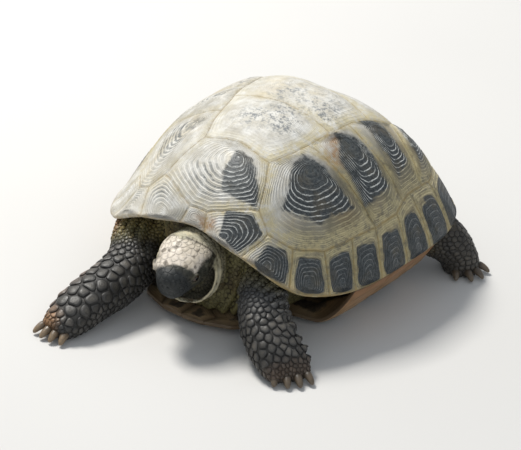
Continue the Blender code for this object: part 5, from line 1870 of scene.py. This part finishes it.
def build_skin():
    shell, bodies = shell_tree(), flesh_bodies()
    region_of = Regions(bodies)
    mesh = skin_mesh(shell, bodies, region_of)
    points, triangles = arrays_of(mesh)
    # How far each point stands above its smoothed neighbours, for painted shade in creases and painted
    # highlight on ridges
    raised = np.sum((points - relaxed(points, edges_of(mesh), 10)) * normals_of(points, triangles), axis=1)
    add_attributes(mesh, ridge=np.clip(0.5 + raised / RIDGE_HEIGHT, 0, 1),
                   tint=skin_colours(points, region_of(points)))
    build_scales(mesh, shell, region_of)
    add_piece("skin", mesh, skin_material(), ["trunk", "neck", "head", "tail", *LEGS])


# ---------------------------------------------------------------- floor, light and camera

CAMERA_AZIMUTH_DEG = 31.14
CAMERA_ELEVATION_DEG = 29.17
CAMERA_ROLL_DEG = -5.91
CAMERA_DISTANCE = 1.770
CAMERA_TARGET = np.array([-0.0008, -0.0190, 0.0332])
CAMERA_LENS = 202.9
SENSOR_WIDTH = 36.0
FLOOR_HALF = 6.0
FLOOR_BELOW = 0.0002
SKY = (0.86, 0.92, 1.0, 1.0)
SKY_STRENGTH = 0.50
LIGHT_TARGET = (0.0, 0.0, 0.05)
# Place, power, size and colour of each light
LIGHTS = {"key": ((-0.95, 0.20, 1.55), 39.0, 0.45, (1.0, 0.975, 0.93)),
          "fill": ((1.2, -1.2, 0.9), 3.5, 1.2, (0.94, 0.97, 1.0))}


def build_stage():
    """A plain pale floor, a sun-like soft key from behind the animal's right, and a sky fill."""
    g = Graph("floor")
    tone = g.layered((0.60, 0.59, 0.57), (g.noise(3.0, 2.0, 0.55), (0.66, 0.65, 0.63)))
    shape = bmesh.new()
    bmesh.ops.create_grid(shape, x_segments=1, y_segments=1, size=FLOOR_HALF)
    mesh = bpy.data.meshes.new("floor")
    shape.to_mesh(mesh)
    shape.free()
    mesh.materials.append(g.finish(tone, 0.8))
    floor = add_object("floor", mesh)
    floor.location.z = -FLOOR_BELOW

    world = bpy.data.worlds.new("studio")
    bpy.context.scene.world = world
    world.use_nodes = True
    background = world.node_tree.nodes["Background"]
    background.inputs["Color"].default_value = SKY
    background.inputs["Strength"].default_value = SKY_STRENGTH
    for name, (place, power, size, colour) in LIGHTS.items():
        data = bpy.data.lights.new(name, "AREA")
        data.energy, data.size, data.color = power, size, colour
        light = add_object(name, data)
        light.location = place
        light.rotation_euler = (Vector(LIGHT_TARGET) - light.location).to_track_quat("-Z", "Y").to_euler()


def build_camera():
    (ahead, aside), (level, steep) = turned(CAMERA_AZIMUTH_DEG), turned(CAMERA_ELEVATION_DEG)
    upright, tipped = turned(CAMERA_ROLL_DEG)
    back, right = np.array([aside * level, -ahead * level, steep]), np.array([ahead, aside, 0.0])
    up = np.cross(back, right)
    data = bpy.data.cameras.new("camera")
    data.lens, data.sensor_width, data.sensor_fit = CAMERA_LENS, SENSOR_WIDTH, "HORIZONTAL"
    data.clip_start, data.clip_end = 0.1, 20.0
    camera = add_object("camera", data)
    axes = np.stack([right * upright - up * tipped, right * tipped + up * upright, back], 1)
    turn = Matrix(axes.tolist()).to_4x4()
    turn.translation = Vector(CAMERA_TARGET + back * CAMERA_DISTANCE + SHIFT)
    camera.matrix_world = turn
    bpy.context.scene.camera = camera


build_carapace(carapace_horn())
build_plastron(plastron_horn())
build_skin()
build_claws()
build_eyes()
build_stage()
build_camera()
bpy.context.scene.view_settings.view_transform = "Standard"
